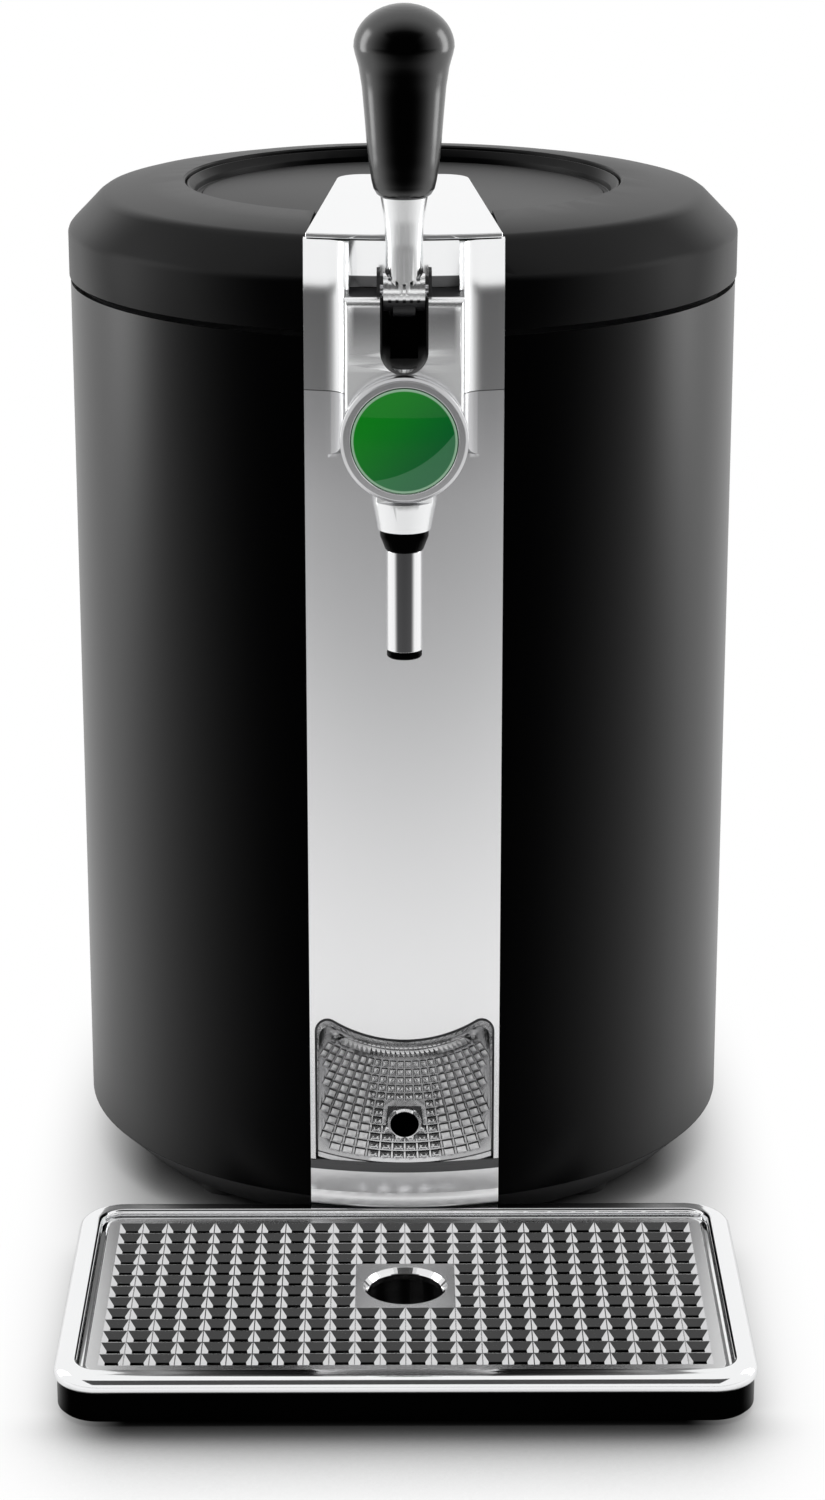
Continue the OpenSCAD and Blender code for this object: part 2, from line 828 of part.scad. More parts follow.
// Right half of the tower's plan, from its middle outwards
function tower_half() = concat(
    [for (x = [0:4:flare_in]) [x, -column_front(x)]],
    [for (i = [10:-1:0]) shoulder_edge()[i]],
    [for (i = [1:3]) let (x = flare_out + (column_half - flare_out) * i / 3) [x, -column_front(x)]],
    [[column_half, -casing_r * 0.8]]
);

// Plan of the tower; squeeze shortens it about the front of the column
module tower_plan(squeeze = 1) {
    half = tower_half();
    last = len(half) - 1;
    polygon(concat(
        [for (i = [last:-1:1]) [-half[i][0], squeeze * (half[i][1] + column_r) - column_r]],
        [for (point = half) [point[0], squeeze * (point[1] + column_r) - column_r]]
    ));
}

module shoulder_plan() {
    for (side = [-1, 1]) polygon(concat(
        [[side * flare_in, -casing_r * 0.9], [side * flare_out, -casing_r * 0.9]],
        [for (point = shoulder_edge()) [side * point[0], point[1]]]
    ));
}

// The shoulders below the joint line, where they run out into the column
module shoulder_fade() {
    steps = 8;
    root = column_r - 4;
    rise = flare_reach - 3;
    intersection() {
        translate([0, 0, seam_z - flare_fade_h]) linear_extrude(height = flare_fade_h) shoulder_plan();
        across_x(column_half) polygon(concat(
            [[-root + 2, seam_z - flare_fade_h], [-root + 2, seam_z]],
            [for (i = [0:steps]) [-root - rise * cos(90 * i / steps),
                                  seam_z - flare_fade_h * sin(90 * i / steps)]]
        ));
    }
}

module tap_room(z_low) {
    block([-tap_half - fit_gap, -big, z_low], [tap_half + fit_gap, -tap_back + 0.1, tap_z + 0.1]);
}

module column_panel() {
    low = niche_z;
    color("#d4d6d9") on_axis() difference() {
        union() {
            column_band(column_r, low, seam_z);
            difference() {
                shoulder_fade();
                cylinder(r = column_r - 0.5, h = big, $fn = 180);
            }
        }
        difference() {
            cylinder(r = column_r - column_wall, h = seam_z - column_wall, $fn = 180);
            for (side = [-1, 1]) translate([side * (column_half - column_wall + big / 2), 0, 0])
                cube([big, 2 * big, 2 * big], center = true);
        }
        intersection() {
            niche_prism(niche_wall + 0.05);
            above_slope(-20);
        }
        tap_room(badge_z - badge_r - 4);
    }
}

module column_foot() {
    roll_r = column_r + 1.2;
    lip_z = niche_z - 0.1;
    color("#c7cacd") on_axis() difference() {
        intersection() {
            rotate_extrude($fn = 180) polygon([
                [casing_r + fit_gap, foot_z], [roll_r - 1.4, foot_z], [roll_r - 0.3, foot_z + 1.2],
                [roll_r, foot_z + 3], [roll_r - 0.4, foot_z + 4.8], [roll_r - 1.2, foot_z + 6],
                [column_r + 1, foot_z + 8.4], [column_r + 1, lip_z - 3.6],
                [column_r + 0.4, lip_z - 0.8], [column_r - 0.6, lip_z], [casing_r + fit_gap, lip_z]
            ]);
            block([-column_half, -big, foot_z], [column_half, 0, lip_z]);
        }
        intersection() {
            above_slope(-splash_t - 0.05);
            cylinder(r = niche_front + 0.2, h = big, $fn = 180);
        }
        intersection() {
            ring(casing_r, column_r - 2.2, foot_z + 2, foot_z + 12);
            block([-column_half + 2, -big, 0], [column_half - 2, 0, big]);
        }
    }
}

// The leaning upper part starts lean_step inside the upright one, so the two join cleanly
module tap_tower() {
    top = plate_z - plate_t - fit_gap;
    color("#dcdee0") on_axis() difference() {
        union() {
            translate([0, 0, seam_z + 0.1]) linear_extrude(height = rim_top_z - seam_z - 0.1) tower_plan();
            intersection() {
                translate([0, -column_r + lean_step, rim_top_z]) rotate([-tower_lean, 0, 0])
                    scale([1 - lean_step / column_w, 1, 1]) translate([0, column_r, -5])
                    linear_extrude(height = 40) tower_plan(cos(tower_lean));
                block([-column_half - 1, -big, rim_top_z - 0.3], [column_half + 1, 0, top]);
            }
        }
        cylinder(r = casing_r + fit_gap, h = casing_top_z, $fn = 180);
        translate([0, 0, casing_top_z - eps]) cylinder(r = lid_r + lid_run_gap, h = big, $fn = 180);
        tap_room(0);
        line_way();
    }
}

// ---------- tap head ----------

module tap_plan() {
    depth = face_y - tap_back;
    translate([-tap_half, -face_y + tap_corner]) square([tap_w, depth - tap_corner]);
    translate([-tap_half + tap_corner, -face_y]) square([tap_w - 2 * tap_corner, depth]);
    for (side = [-1, 1])
        translate([side * (tap_half - tap_corner), -face_y + tap_corner]) circle(r = tap_corner);
}

// Side view of the tap head, as [y, z] points: a slightly bent face with a round edge at the top
function face_bend(z) = (z - face_mid_z) * (z - face_mid_z) / 2 / face_bend_r;
function tap_side() = concat(
    [[-tap_back, 0], [-face_y + face_bend(face_mid_z - 13.5), 0]],
    [for (z = [-13.5:3:7.5]) [-face_y + face_bend(face_mid_z + z), face_mid_z + z]],
    [for (a = [6:12:90]) [-face_y + 0.3 + lip_round * (1 - cos(a)), tap_z - lip_round * (1 - sin(a))]],
    [[-tap_back, tap_z]]
);

module slot_room(side_gap, back) {
    z_round = slot_low_z + slot_half;
    half = slot_half - side_gap;
    block([-half, -tap_front, z_round], [half, -back, tap_z + 20]);
    translate([0, -back, z_round]) rotate([90, 0, 0]) cylinder(r = half, h = tap_front - back);
}

module tap_head() {
    color("#e2e4e6") on_axis() difference() {
        union() {
            intersection() {
                translate([0, 0, badge_z - tap_half]) linear_extrude(height = big) tap_plan();
                across_x(tap_half + 1) polygon(tap_side());
                union() {
                    block([-tap_half, -face_y, badge_z], [tap_half, -tap_back, tap_z]);
                    translate([0, -tap_back, badge_z]) rotate([90, 0, 0])
                        cylinder(r = tap_half, h = face_y - tap_back);
                }
            }
            translate([0, -spout_y, cone_z]) cylinder(r1 = cone_low_r, r2 = cone_top_r, h = cone_h);
            intersection() {
                translate([0, -spout_y, cone_z + cone_h]) cylinder(r = cone_top_r, h = 12);
                block([-20, -face_y, 0], [20, 0, big]);
            }
            for (side = [-1, 1]) translate([side * (slot_half + cheek_t / 2), -pivot_y, tap_z - 1])
                across_x(cheek_t / 2) {
                    translate([-6, 0]) square([12, cheek_h - 2]);
                    translate([-3, 0]) square([6, cheek_h + 1]);
                    for (y = [-3, 3]) translate([y, cheek_h - 2]) circle(r = 3);
                }
        }
        slot_room(0, slot_back);
        block([-line_half, -slot_back - 1, line_z], [line_half, 0, line_top_z]);
        translate([0, -spout_y, 0]) cylinder(r = spout_bore_r, h = slot_low_z + 2);
        along_x([-pivot_y, pivot_z], lever_pin_r + eps, slot_half + cheek_t + eps);
    }
}

// Black lining of the lever's slot
module slot_liner() {
    color("#0b0b0c") on_axis() difference() {
        intersection() {
            slot_room(0.05, slot_back + 0.05);
            block([-20, -face_y + 0.8, 0], [20, 0, tap_z]);
        }
        slot_room(liner_wall, slot_back + liner_wall);
        block([-line_half, -big, line_z], [line_half, 0, line_top_z]);
        translate([0, -spout_y, 0]) cylinder(r = spout_bore_r, h = slot_low_z + 4);
        along_x([-pivot_y, pivot_z], lever_pin_r + 0.2, 20);
    }
}

module badge_ring() {
    color("#d8dadd") on_axis() translate([0, -face_y, badge_z]) rotate([90, 0, 0])
        rotate_extrude($fn = 120) polygon([
            [0, 0], [badge_r - 0.8, 0], [badge_r, 0.8], [badge_r, badge_t - 1.2],
            [badge_r - 1.2, badge_t], [lens_r + 0.5, badge_t], [lens_r + 0.1, badge_t - 0.5],
            [lens_r + 0.1, badge_t - lens_seat], [0, badge_t - lens_seat]
        ]);
}

module badge_lens() {
    dome = lens_dome_r - sqrt(lens_dome_r * lens_dome_r - lens_r * lens_r);
    color("#0c7a33") on_axis() translate([0, -face_y - badge_t + lens_seat, badge_z])
        rotate([90, 0, 0]) intersection() {
            cylinder(r = lens_r, h = lens_seat + dome);
            translate([0, 0, lens_seat + dome - lens_dome_r]) sphere(r = lens_dome_r, $fn = 180);
        }
}

module spout_collar() {
    top_r = cone_low_r - 1.4;
    color("#0d0d0e") on_axis() translate([0, -spout_y, 0]) rotate_extrude() polygon([
        [spout_bore_r, collar_z], [spout_d / 2, collar_z], [spout_d / 2 + 0.3, collar_z + 0.4],
        [top_r + 0.5, collar_z + 5.2], [top_r + 0.5, collar_z + 6.6], [top_r, collar_z + collar_h],
        [spout_bore_r, collar_z + collar_h]
    ]);
}

module spout_tube() {
    color("#dfe1e3") on_axis() translate([0, -spout_y, tube_z]) difference() {
        cylinder(r = spout_d / 2, h = spout_len);
        translate([0, 0, -1]) cylinder(r = spout_bore_r, h = spout_len + 2);
    }
}

module spout_tip() {
    color("#0d0d0e") on_axis() translate([0, -spout_y, 0]) rotate_extrude() polygon([
        [spout_bore_r, tip_z], [spout_d / 2 - 0.7, tip_z], [spout_d / 2 - 0.25, tip_z + 0.5],
        [spout_d / 2 - 0.25, tip_z + 2], [spout_d / 2 - 0.8, tip_z + 2.2],
        [spout_d / 2 - 0.8, tube_z], [spout_bore_r, tube_z]
    ]);
}

// ---------- lever ----------

module lever_stem() {
    waist_r = 6.7;
    top_r = 8.5;
    rib_gap = 1.1;
    color("#e6e8ea") on_axis() difference() {
        union() {
            translate([0, -pivot_y, 0]) rotate_extrude() polygon([
                [0, pivot_z], [waist_r + 0.4, pivot_z], [waist_r, pivot_z + 17],
                [waist_r + 0.6, pivot_z + 26], [top_r, stem_top_z], [spigot_r, stem_top_z],
                [spigot_r, stem_top_z + spigot_h], [0, stem_top_z + spigot_h]
            ]);
            along_x([-pivot_y, pivot_z], hub_r, hub_half);
            translate([0, -pivot_y, pivot_z]) rotate([-cam_rest, 0, 0])
                along_x([0, -cam_offset], cam_r, 4);
        }
        intersection() {
            for (x = [-5.2:2.6:5.2]) translate([x, -pivot_y, pivot_z]) rotate([0, 90, 0]) difference() {
                cylinder(r = hub_r + 1, h = rib_gap, center = true);
                cylinder(r = hub_r - 0.8, h = 2 * rib_gap, center = true);
            }
            block([-10, -pivot_y - 12, pivot_z - 3], [10, -pivot_y - 1, pivot_z + 12]);
        }
        along_x([-pivot_y, pivot_z], lever_pin_r + run_gap, 20);
    }
}

// Half outline of the knob from its seat on the stem up over the dome
function knob_outline() = concat(
    [[0, 0], [8.4, 0], [9.8, 1], [11, 3], [11.7, 6], [12.6, 12], [13.4, 20], [14.2, 30],
     [15, 39], [16.1, knob_h - 22], [knob_r - 0.5, knob_h - 17.4]],
    [for (a = [0:8:88]) [knob_r * cos(a), knob_h - 15 + 15 * sin(a)]],
    [[0, knob_h]]
);

module lever_knob() {
    color("#070707") on_axis() translate([0, -pivot_y, stem_top_z]) difference() {
        rotate_extrude() polygon(knob_outline());
        translate([0, 0, -1]) cylinder(r = spigot_r, h = spigot_h + 1);
    }
}

module lever_pin() {
    color("#9a9da1") on_axis() along_x([-pivot_y, pivot_z], lever_pin_r, slot_half + cheek_t - 0.1);
}

module pinch_jaw() {
    color("#5a5d61") on_axis()
        block([-5, -jaw_front, jaw_low_z], [5, -jaw_front + jaw_t, jaw_top_z]);
}

// ---------- hinge ----------

module hinge_bracket() {
    color("#26272a") on_axis() difference() {
        union() {
            intersection() {
                ring(casing_r + eps, casing_r + bracket_t, hinge_z - bracket_h - 8, casing_top_z - 1);
                block([-hinge_half, 0, 0], [hinge_half, big, big]);
            }
            for (side = [-1, 1]) translate([side * (hinge_half + arm_half + 0.4) / 2, 0, 0]) {
                half = (hinge_half - arm_half - 0.4) / 2;
                along_x([hinge_y, hinge_z], knuckle_r, half);
                intersection() {
                    across_x(half) polygon([
                        [casing_r - 8, hinge_z - bracket_h], [casing_r + 2, hinge_z - bracket_h],
                        [hinge_y + knuckle_r, hinge_z], [hinge_y - knuckle_r, hinge_z],
                        [hinge_y - knuckle_r, casing_top_z - 1], [casing_r - 8, casing_top_z - 1]
                    ]);
                    difference() {
                        block([-big, 0, 0], [big, big, big]);
                        translate([-side * (hinge_half + arm_half + 0.4) / 2, 0, 0])
                            cylinder(r = casing_r + eps, h = big, $fn = 180);
                    }
                }
            }
        }
        along_x([hinge_y, hinge_z], hinge_pin_r + eps, hinge_half + 1);
    }
}

module hinge_pin() {
    color("#a9acb0") on_axis() along_x([hinge_y, hinge_z], hinge_pin_r, hinge_half);
}

module hinge_arm() {
    color("#26272a") on_axis() difference() {
        union() {
            along_x([hinge_y, hinge_z], knuckle_r, arm_half);
            across_x(arm_half) polygon([
                [lid_r + 0.1, hinge_z - 1], [hinge_y, hinge_z - 1], [hinge_y, hinge_z + knuckle_r],
                [lid_r + 0.1, hinge_z + knuckle_r + 4]
            ]);
        }
        cylinder(r = lid_r + eps, h = big, $fn = 180);
        along_x([hinge_y, hinge_z], hinge_pin_r + run_gap, arm_half + 1);
    }
}

// ---------- lid ----------

// Plan of the top plate, grown on all its sides
module plate_plan(grow) {
    cx = plate_front_half - (plate_front_r + plate_rear_y - plate_corner_r) * tan(plate_taper)
        - plate_corner_r / cos(plate_taper);
    cy = plate_rear_y - plate_corner_r;
    r = plate_corner_r + grow;
    front = plate_front_half + grow / cos(plate_taper) + 10 * tan(plate_taper);
    polygon([
        [-front, -plate_front_r - 10], [front, -plate_front_r - 10],
        [cx + r * cos(plate_taper), cy + r * sin(plate_taper)], [cx, cy + r],
        [-cx, cy + r], [-cx - r * cos(plate_taper), cy + r * sin(plate_taper)]
    ]);
    for (side = [-1, 1]) translate([side * cx, cy]) circle(r = r);
}

// Room for the top plate in the lid
module plate_slot(grow) {
    translate([0, 0, recess_z + 0.1]) linear_extrude(height = 40) plate_plan(grow);
    difference() {
        translate([0, 0, plate_skirt_z - 1]) linear_extrude(height = 40) plate_plan(grow);
        cylinder(r = recess_r + lid_wall, h = big, $fn = 180);
    }
}

module lid_shell() {
    color("#1a1a1c") on_axis() difference() {
        rotate_extrude($fn = 180) polygon([
            [lid_r, lid_z], [lid_r, rim_top_z - 1.5], [lid_r - 0.5, rim_top_z], [lid_r - 1.6, rim_top_z + 1.4],
            [bevel_r + 2, bevel_z - 1.9], [bevel_r, bevel_z - 0.5], [bevel_r - 3, bevel_z + 0.3],
            [(bevel_r + recess_r) / 2, bevel_z + lid_crown * 0.66], [recess_r + 0.8, crown_z],
            [recess_r, crown_z - 0.6], [recess_r, recess_z],
            [0, recess_z], [0, recess_z - lid_wall], [recess_r - lid_wall, recess_z - lid_wall],
            [recess_r + lid_wall, recess_z - lid_wall],
            [bevel_r - 1, bevel_z - lid_wall], [lid_r - lid_wall, rim_top_z - 1],
            [lid_r - lid_wall, lid_z]
        ]);
        plate_slot(plate_gap);
        line_way();
    }
}

module lid_insert() {
    r = recess_r - 0.6;
    top = recess_z + 1;
    color("#151516") on_axis() difference() {
        rotate_extrude($fn = 180) polygon([
            [0, recess_z + 0.02], [r, recess_z + 0.02], [r, crown_z - 1.6], [r - 0.8, crown_z - 1.2],
            [r - 3.2, top + 1.6], [r - 3.6, top - 0.6], [r - 5.8, top - 0.6], [r - 6.4, top],
            [0, top]
        ]);
        translate([0, 0, top + 0.05]) linear_extrude(height = 40) plate_plan(0.4);
    }
}

module lid_liner() {
    color("#c9cbce") on_axis() translate([0, 0, liner_z])
        cylinder(r = lid_r - lid_wall - fit_gap, h = liner_t, $fn = 180);
}

module lid_foam() {
    low = liner_z + liner_t;
    foam_r = lid_r - lid_wall - 3;
    color("#e9e4d4") on_axis() translate([0, 0, low])
        cylinder(r = foam_r, h = foam_top_z - low, $fn = 180);
}

module top_plate() {
    color("#e4e6e8") on_axis() difference() {
        intersection() {
            translate([0, 0, plate_skirt_z]) linear_extrude(height = plate_z - plate_skirt_z) plate_plan(0);
            cylinder(r = plate_front_r, h = big, $fn = 180);
        }
        intersection() {
            translate([0, 0, plate_skirt_z - 1]) linear_extrude(height = plate_z - plate_skirt_z + 1 - plate_t)
                plate_plan(-plate_t);
            cylinder(r = plate_front_r - plate_t, h = big, $fn = 180);
        }
        translate([0, 0, plate_skirt_z - 1])
            cylinder(r = recess_r + lid_wall + 1, h = recess_z + 1.2 - plate_skirt_z + 1, $fn = 180);
        ring(lid_r + fit_gap, 2 * lid_r, 0, plate_z - plate_t);
    }
}

// ---------- drip tray ----------

module drip_tray() {
    w = tray_w - 2 * trough_inset;
    d = tray_d - 2 * trough_inset;
    r = tray_corner_r - trough_inset;
    color("#121213") on_axis() translate([0, tray_y, 0]) difference() {
        union() {
            translate([0, 0, tray_lift + 1]) linear_extrude(height = trough_top_z - tray_lift - 1)
                rounded_rect(w, d, r);
            translate([0, 0, tray_lift]) linear_extrude(height = 2)
                rounded_rect(w - 2, d - 2, r - 1);
        }
        translate([0, 0, tray_lift + trough_wall]) linear_extrude(height = 30)
            rounded_rect(w - 2 * trough_wall, d - 2 * trough_wall, r - trough_wall);
    }
}

module tray_pads() {
    color("#0c0c0c") on_axis() translate([0, tray_y, 0])
        for (x = [-1, 1], y = [-1, 1])
            translate([x * (tray_w / 2 - 22), y * (tray_d / 2 - 22), 0]) cylinder(r = pad_r, h = tray_lift);
}

// Section of the rim: round outer edge, flat top, channel round the grid and a ledge that carries it
module rim_section() {
    polygon(concat(
        [[0.6, rim_z], [0, rim_z + 0.8]],
        [for (a = [0:15:90]) [rim_round * (1 - cos(a)), rim_top - rim_round * (1 - sin(a))]],
        [[rim_w - 0.8, rim_top], [rim_w, rim_top - 0.8], [rim_w, channel_z], [channel_in, channel_z],
         [channel_in, grid_rest_z], [channel_in + rim_ledge, grid_rest_z], [channel_in + rim_ledge, rim_z]]
    ));
}

module tray_rim() {
    color("#dcdee0") on_axis() translate([0, tray_y, 0])
        swept_frame(tray_w, tray_d, tray_corner_r) rim_section();
}

module pit_trough(length) {
    across_x(length / 2) polygon([
        [-pit_top_half, grid_t + eps], [pit_top_half, grid_t + eps],
        [pit_low_half, -eps], [-pit_low_half, -eps]
    ]);
}

module grid_pits() {
    w = pit_cols * pit_pitch;
    d = pit_lines * pit_pitch;
    flat = 2 * flat_cells * pit_pitch;
    difference() {
        intersection() {
            for (i = [0:pit_lines - 1]) translate([0, (i - (pit_lines - 1) / 2) * pit_pitch, 0])
                pit_trough(w);
            for (i = [0:pit_cols - 1]) translate([(i - (pit_cols - 1) / 2) * pit_pitch, 0, 0])
                rotate([0, 0, 90]) pit_trough(d);
        }
        translate([-flat / 2, pit_pitch * (pit_lines / 2 - 4) - flat, -1]) cube([flat, flat, 6]);
    }
}

module drip_grid() {
    w = tray_w - 2 * grid_inset;
    d = tray_d - 2 * grid_inset;
    r = tray_corner_r - grid_inset;
    hole_y = pit_pitch * (pit_lines / 2 - 4 - flat_cells);
    color("#d0d3d6") on_axis() translate([0, tray_y, grid_rest_z]) difference() {
        union() {
            linear_extrude(height = grid_t) rounded_rect(w, d, r);
            translate([0, hole_y, grid_t - drain_depth])
                cylinder(r = drain_d / 2 + 1.6, h = drain_depth - grid_t + 0.1);
        }
        grid_pits();
        translate([0, hole_y, grid_t - drain_depth - 1]) cylinder(r = drain_d / 2, h = 20);
        translate([0, hole_y, grid_t - drain_lip])
            cylinder(r1 = drain_d / 2, r2 = drain_d / 2 + drain_lip + 0.1, h = drain_lip + 0.1);
    }
}

base_pan();
base_feet();
base_screws();
casing_shell();
rear_panel();
power_inlet();
inlet_pins();
switch_frame();
power_rocker();
chassis_ring();
insulation_ring();
cooling_drum();
cold_block();
thermoelectric_module();
heat_sink();
fan_frame();
fan_rotor();
control_board();
top_deck();
deck_gasket();
column_panel();
niche_housing();
splash_grid();
column_foot();
tap_tower();
tap_head();
slot_liner();
badge_ring();
badge_lens();
spout_collar();
spout_tube();
spout_tip();
lever_stem();
lever_knob();
lever_pin();
pinch_jaw();
hinge_bracket();
hinge_pin();
hinge_arm();
lid_shell();
lid_insert();
lid_liner();
lid_foam();
top_plate();
drip_tray();
tray_pads();
tray_rim();
drip_grid();
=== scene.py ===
"""Looks of a beer dispenser for mini kegs: finishes, rounded edges and studio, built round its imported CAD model.

Lengths are in millimetres where a name ends in _mm, and in metres elsewhere. The frame is the CAD model's own:
its origin is the middle of the footprint on the table, +Z is up and the tap faces -Y.
"""

import json
import math

import bmesh
import bpy
from bpy.props import FloatProperty, FloatVectorProperty, IntProperty, PointerProperty
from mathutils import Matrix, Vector
from mathutils.geometry import tessellate_polygon


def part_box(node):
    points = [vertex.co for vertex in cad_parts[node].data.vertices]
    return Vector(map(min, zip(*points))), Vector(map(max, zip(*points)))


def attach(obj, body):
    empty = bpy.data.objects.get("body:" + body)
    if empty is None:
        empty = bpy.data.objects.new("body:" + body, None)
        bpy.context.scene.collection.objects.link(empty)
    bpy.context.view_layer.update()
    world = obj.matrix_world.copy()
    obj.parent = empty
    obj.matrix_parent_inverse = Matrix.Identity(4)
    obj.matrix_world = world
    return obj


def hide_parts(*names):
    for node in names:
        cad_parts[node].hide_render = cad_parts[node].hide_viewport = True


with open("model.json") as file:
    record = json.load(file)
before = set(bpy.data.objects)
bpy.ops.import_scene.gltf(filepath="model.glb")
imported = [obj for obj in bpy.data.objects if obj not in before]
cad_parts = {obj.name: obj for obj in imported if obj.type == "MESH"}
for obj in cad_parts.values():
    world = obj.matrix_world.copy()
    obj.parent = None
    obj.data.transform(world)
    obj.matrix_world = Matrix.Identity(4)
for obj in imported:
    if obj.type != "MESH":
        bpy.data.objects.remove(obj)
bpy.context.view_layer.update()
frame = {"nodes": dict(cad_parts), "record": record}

bl_info = {
    "name": "Beer dispenser",
    "version": (1, 0, 0),
    "blender": (4, 5, 0),
    "location": "View3D > Sidebar > Dispenser",
    "description": "Builds the finishes, fine shapes and studio of a beer dispenser for mini kegs",
    "category": "Object",
}

NODES = frame["nodes"]
BODY_OF = {n: body for body, members in frame["record"]["behaviour"]["bodies"].items() for n in members}
MM = 0.001
# Axis of the round casing, middle of the tray, and radius of the column's front about that axis
AXIS_Y = 0.068
TRAY_Y = -0.1381
COLUMN_R = 0.140
# Height of the seam between the column and the tower
SEAM_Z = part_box("column_panel")[1].z
# Height where the tower starts to lean back, which is level with the lip of the tap head
BREAK_Z = 0.3854
LIP_Z = 0.385
# Splash grid: its front edge, ahead of the axis and above the table, and its slope in degrees
NICHE_FRONT = 0.139
NICHE_Z = 0.0397
SPLASH_SLOPE = 40.5
# Drip grid, in millimetres
GRID_T = 2.4
GRID_CORNER = 5.5
# Pits left out on each side of the drain, and rows of pits kept behind the flat square that this leaves
FLAT_CELLS = 2
ROWS_BEHIND = 4
DRAIN_R = 13.9
DRAIN_LIP = 1.9
DRAIN_WALL = 1.6
# Tones of the mirrored floor, from 4 m in front of the machine (0) up to its own middle (1)
FLOOR_TONES = (
    (0.0, 0.09), (0.48, 0.18), (0.58, 0.24), (0.67, 0.43), (0.77, 0.62), (0.82, 0.79), (0.90, 0.95), (1.0, 1.0),
)
# Distance from the machine's middle over which the floor turns from lit to plain white
FLOOR_FADE = (0.30, 0.62)
FLOOR_HALF = 6.0
SKY_LIGHT = 0.45
FLAG_LIGHT = 0.075
# Camera of the photograph: its place, and how far it looks down in degrees and rolls in radians
CAMERA_PLACE = (-0.00384, -1.396, 0.63157)
CAMERA_DOWN = 17.693
CAMERA_ROLL = -0.0052
CAMERA_LENS_MM = 88.49
CAMERA_SENSOR_MM = 36.0
WHITE = (1.0, 1.0, 1.0, 1.0)
PLATED = (0.90, 0.905, 0.91)


# ---------- node trees ----------


class Value:
    """A socket of a node tree. Arithmetic on it adds Math nodes."""

    def __init__(self, graph, link):
        self.graph = graph
        self.link = link

    def maths(self, operation, *others, flip=False):
        terms = [self, *others]
        if flip:
            terms.reverse()
        return self.graph.node("ShaderNodeMath", {"operation": operation}, dict(enumerate(terms)))

    def __add__(self, other):
        return self.maths("ADD", other)

    def __sub__(self, other):
        return self.maths("SUBTRACT", other)

    def __mul__(self, other):
        return self.maths("MULTIPLY", other)

    def __truediv__(self, other):
        return self.maths("DIVIDE", other)

    def __pow__(self, other):
        return self.maths("POWER", other)

    def __radd__(self, other):
        return self.maths("ADD", other, flip=True)

    def __rsub__(self, other):
        return self.maths("SUBTRACT", other, flip=True)

    def __rmul__(self, other):
        return self.maths("MULTIPLY", other, flip=True)

    def __rtruediv__(self, other):
        return self.maths("DIVIDE", other, flip=True)

    def ramp(self, low, high, to_low=0.0, to_high=1.0, ease="SMOOTHSTEP"):
        """This value spread from low..high onto to_low..to_high, and held past both ends."""
        return self.graph.node(
            "ShaderNodeMapRange",
            {"interpolation_type": ease, "clamp": True},
            {"Value": self, "From Min": low, "From Max": high, "To Min": to_low, "To Max": to_high},
        )


class Graph:
    """A node tree under construction."""

    def __init__(self, tree):
        self.tree = tree

    def node(self, kind, settings=None, inputs=None, output=0):
        """Adds a node: settings are set first, then the values or links of its sockets."""
        made = self.tree.nodes.new(kind)
        for key, value in (settings or {}).items():
            if key == "stops":
                ramp = made.color_ramp
                while len(ramp.elements) < len(value):
                    ramp.elements.new(0.5)
                for element, (place, colour) in zip(ramp.elements, value):
                    element.position, element.color = place, (*colour, 1.0)
            else:
                setattr(made, key, value)
        for key, value in (inputs or {}).items():
            self.feed(made.inputs[key], value)
        return None if output is None else Value(self, made.outputs[output])

    def feed(self, socket, value):
        """Sets a socket, or links it; a list of links goes to a socket that takes several."""
        for item in value if isinstance(value, list) else [value]:
            if isinstance(item, Value):
                self.tree.links.new(item.link, socket)
            else:
                socket.default_value = item

    def split(self, vector):
        """The X, Y and Z of a vector."""
        first = self.node("ShaderNodeSeparateXYZ", {}, {0: vector})
        return [Value(self, socket) for socket in first.link.node.outputs]

    def ray(self, kind):
        """1 for one kind of ray, such as Camera or Glossy, and 0 for the others."""
        return self.node("ShaderNodeLightPath", output=f"Is {kind} Ray")

    def blend(self, factor, first, second):
        """A shader between two others."""
        return self.node("ShaderNodeMixShader", {}, {0: factor, 1: first, 2: second})


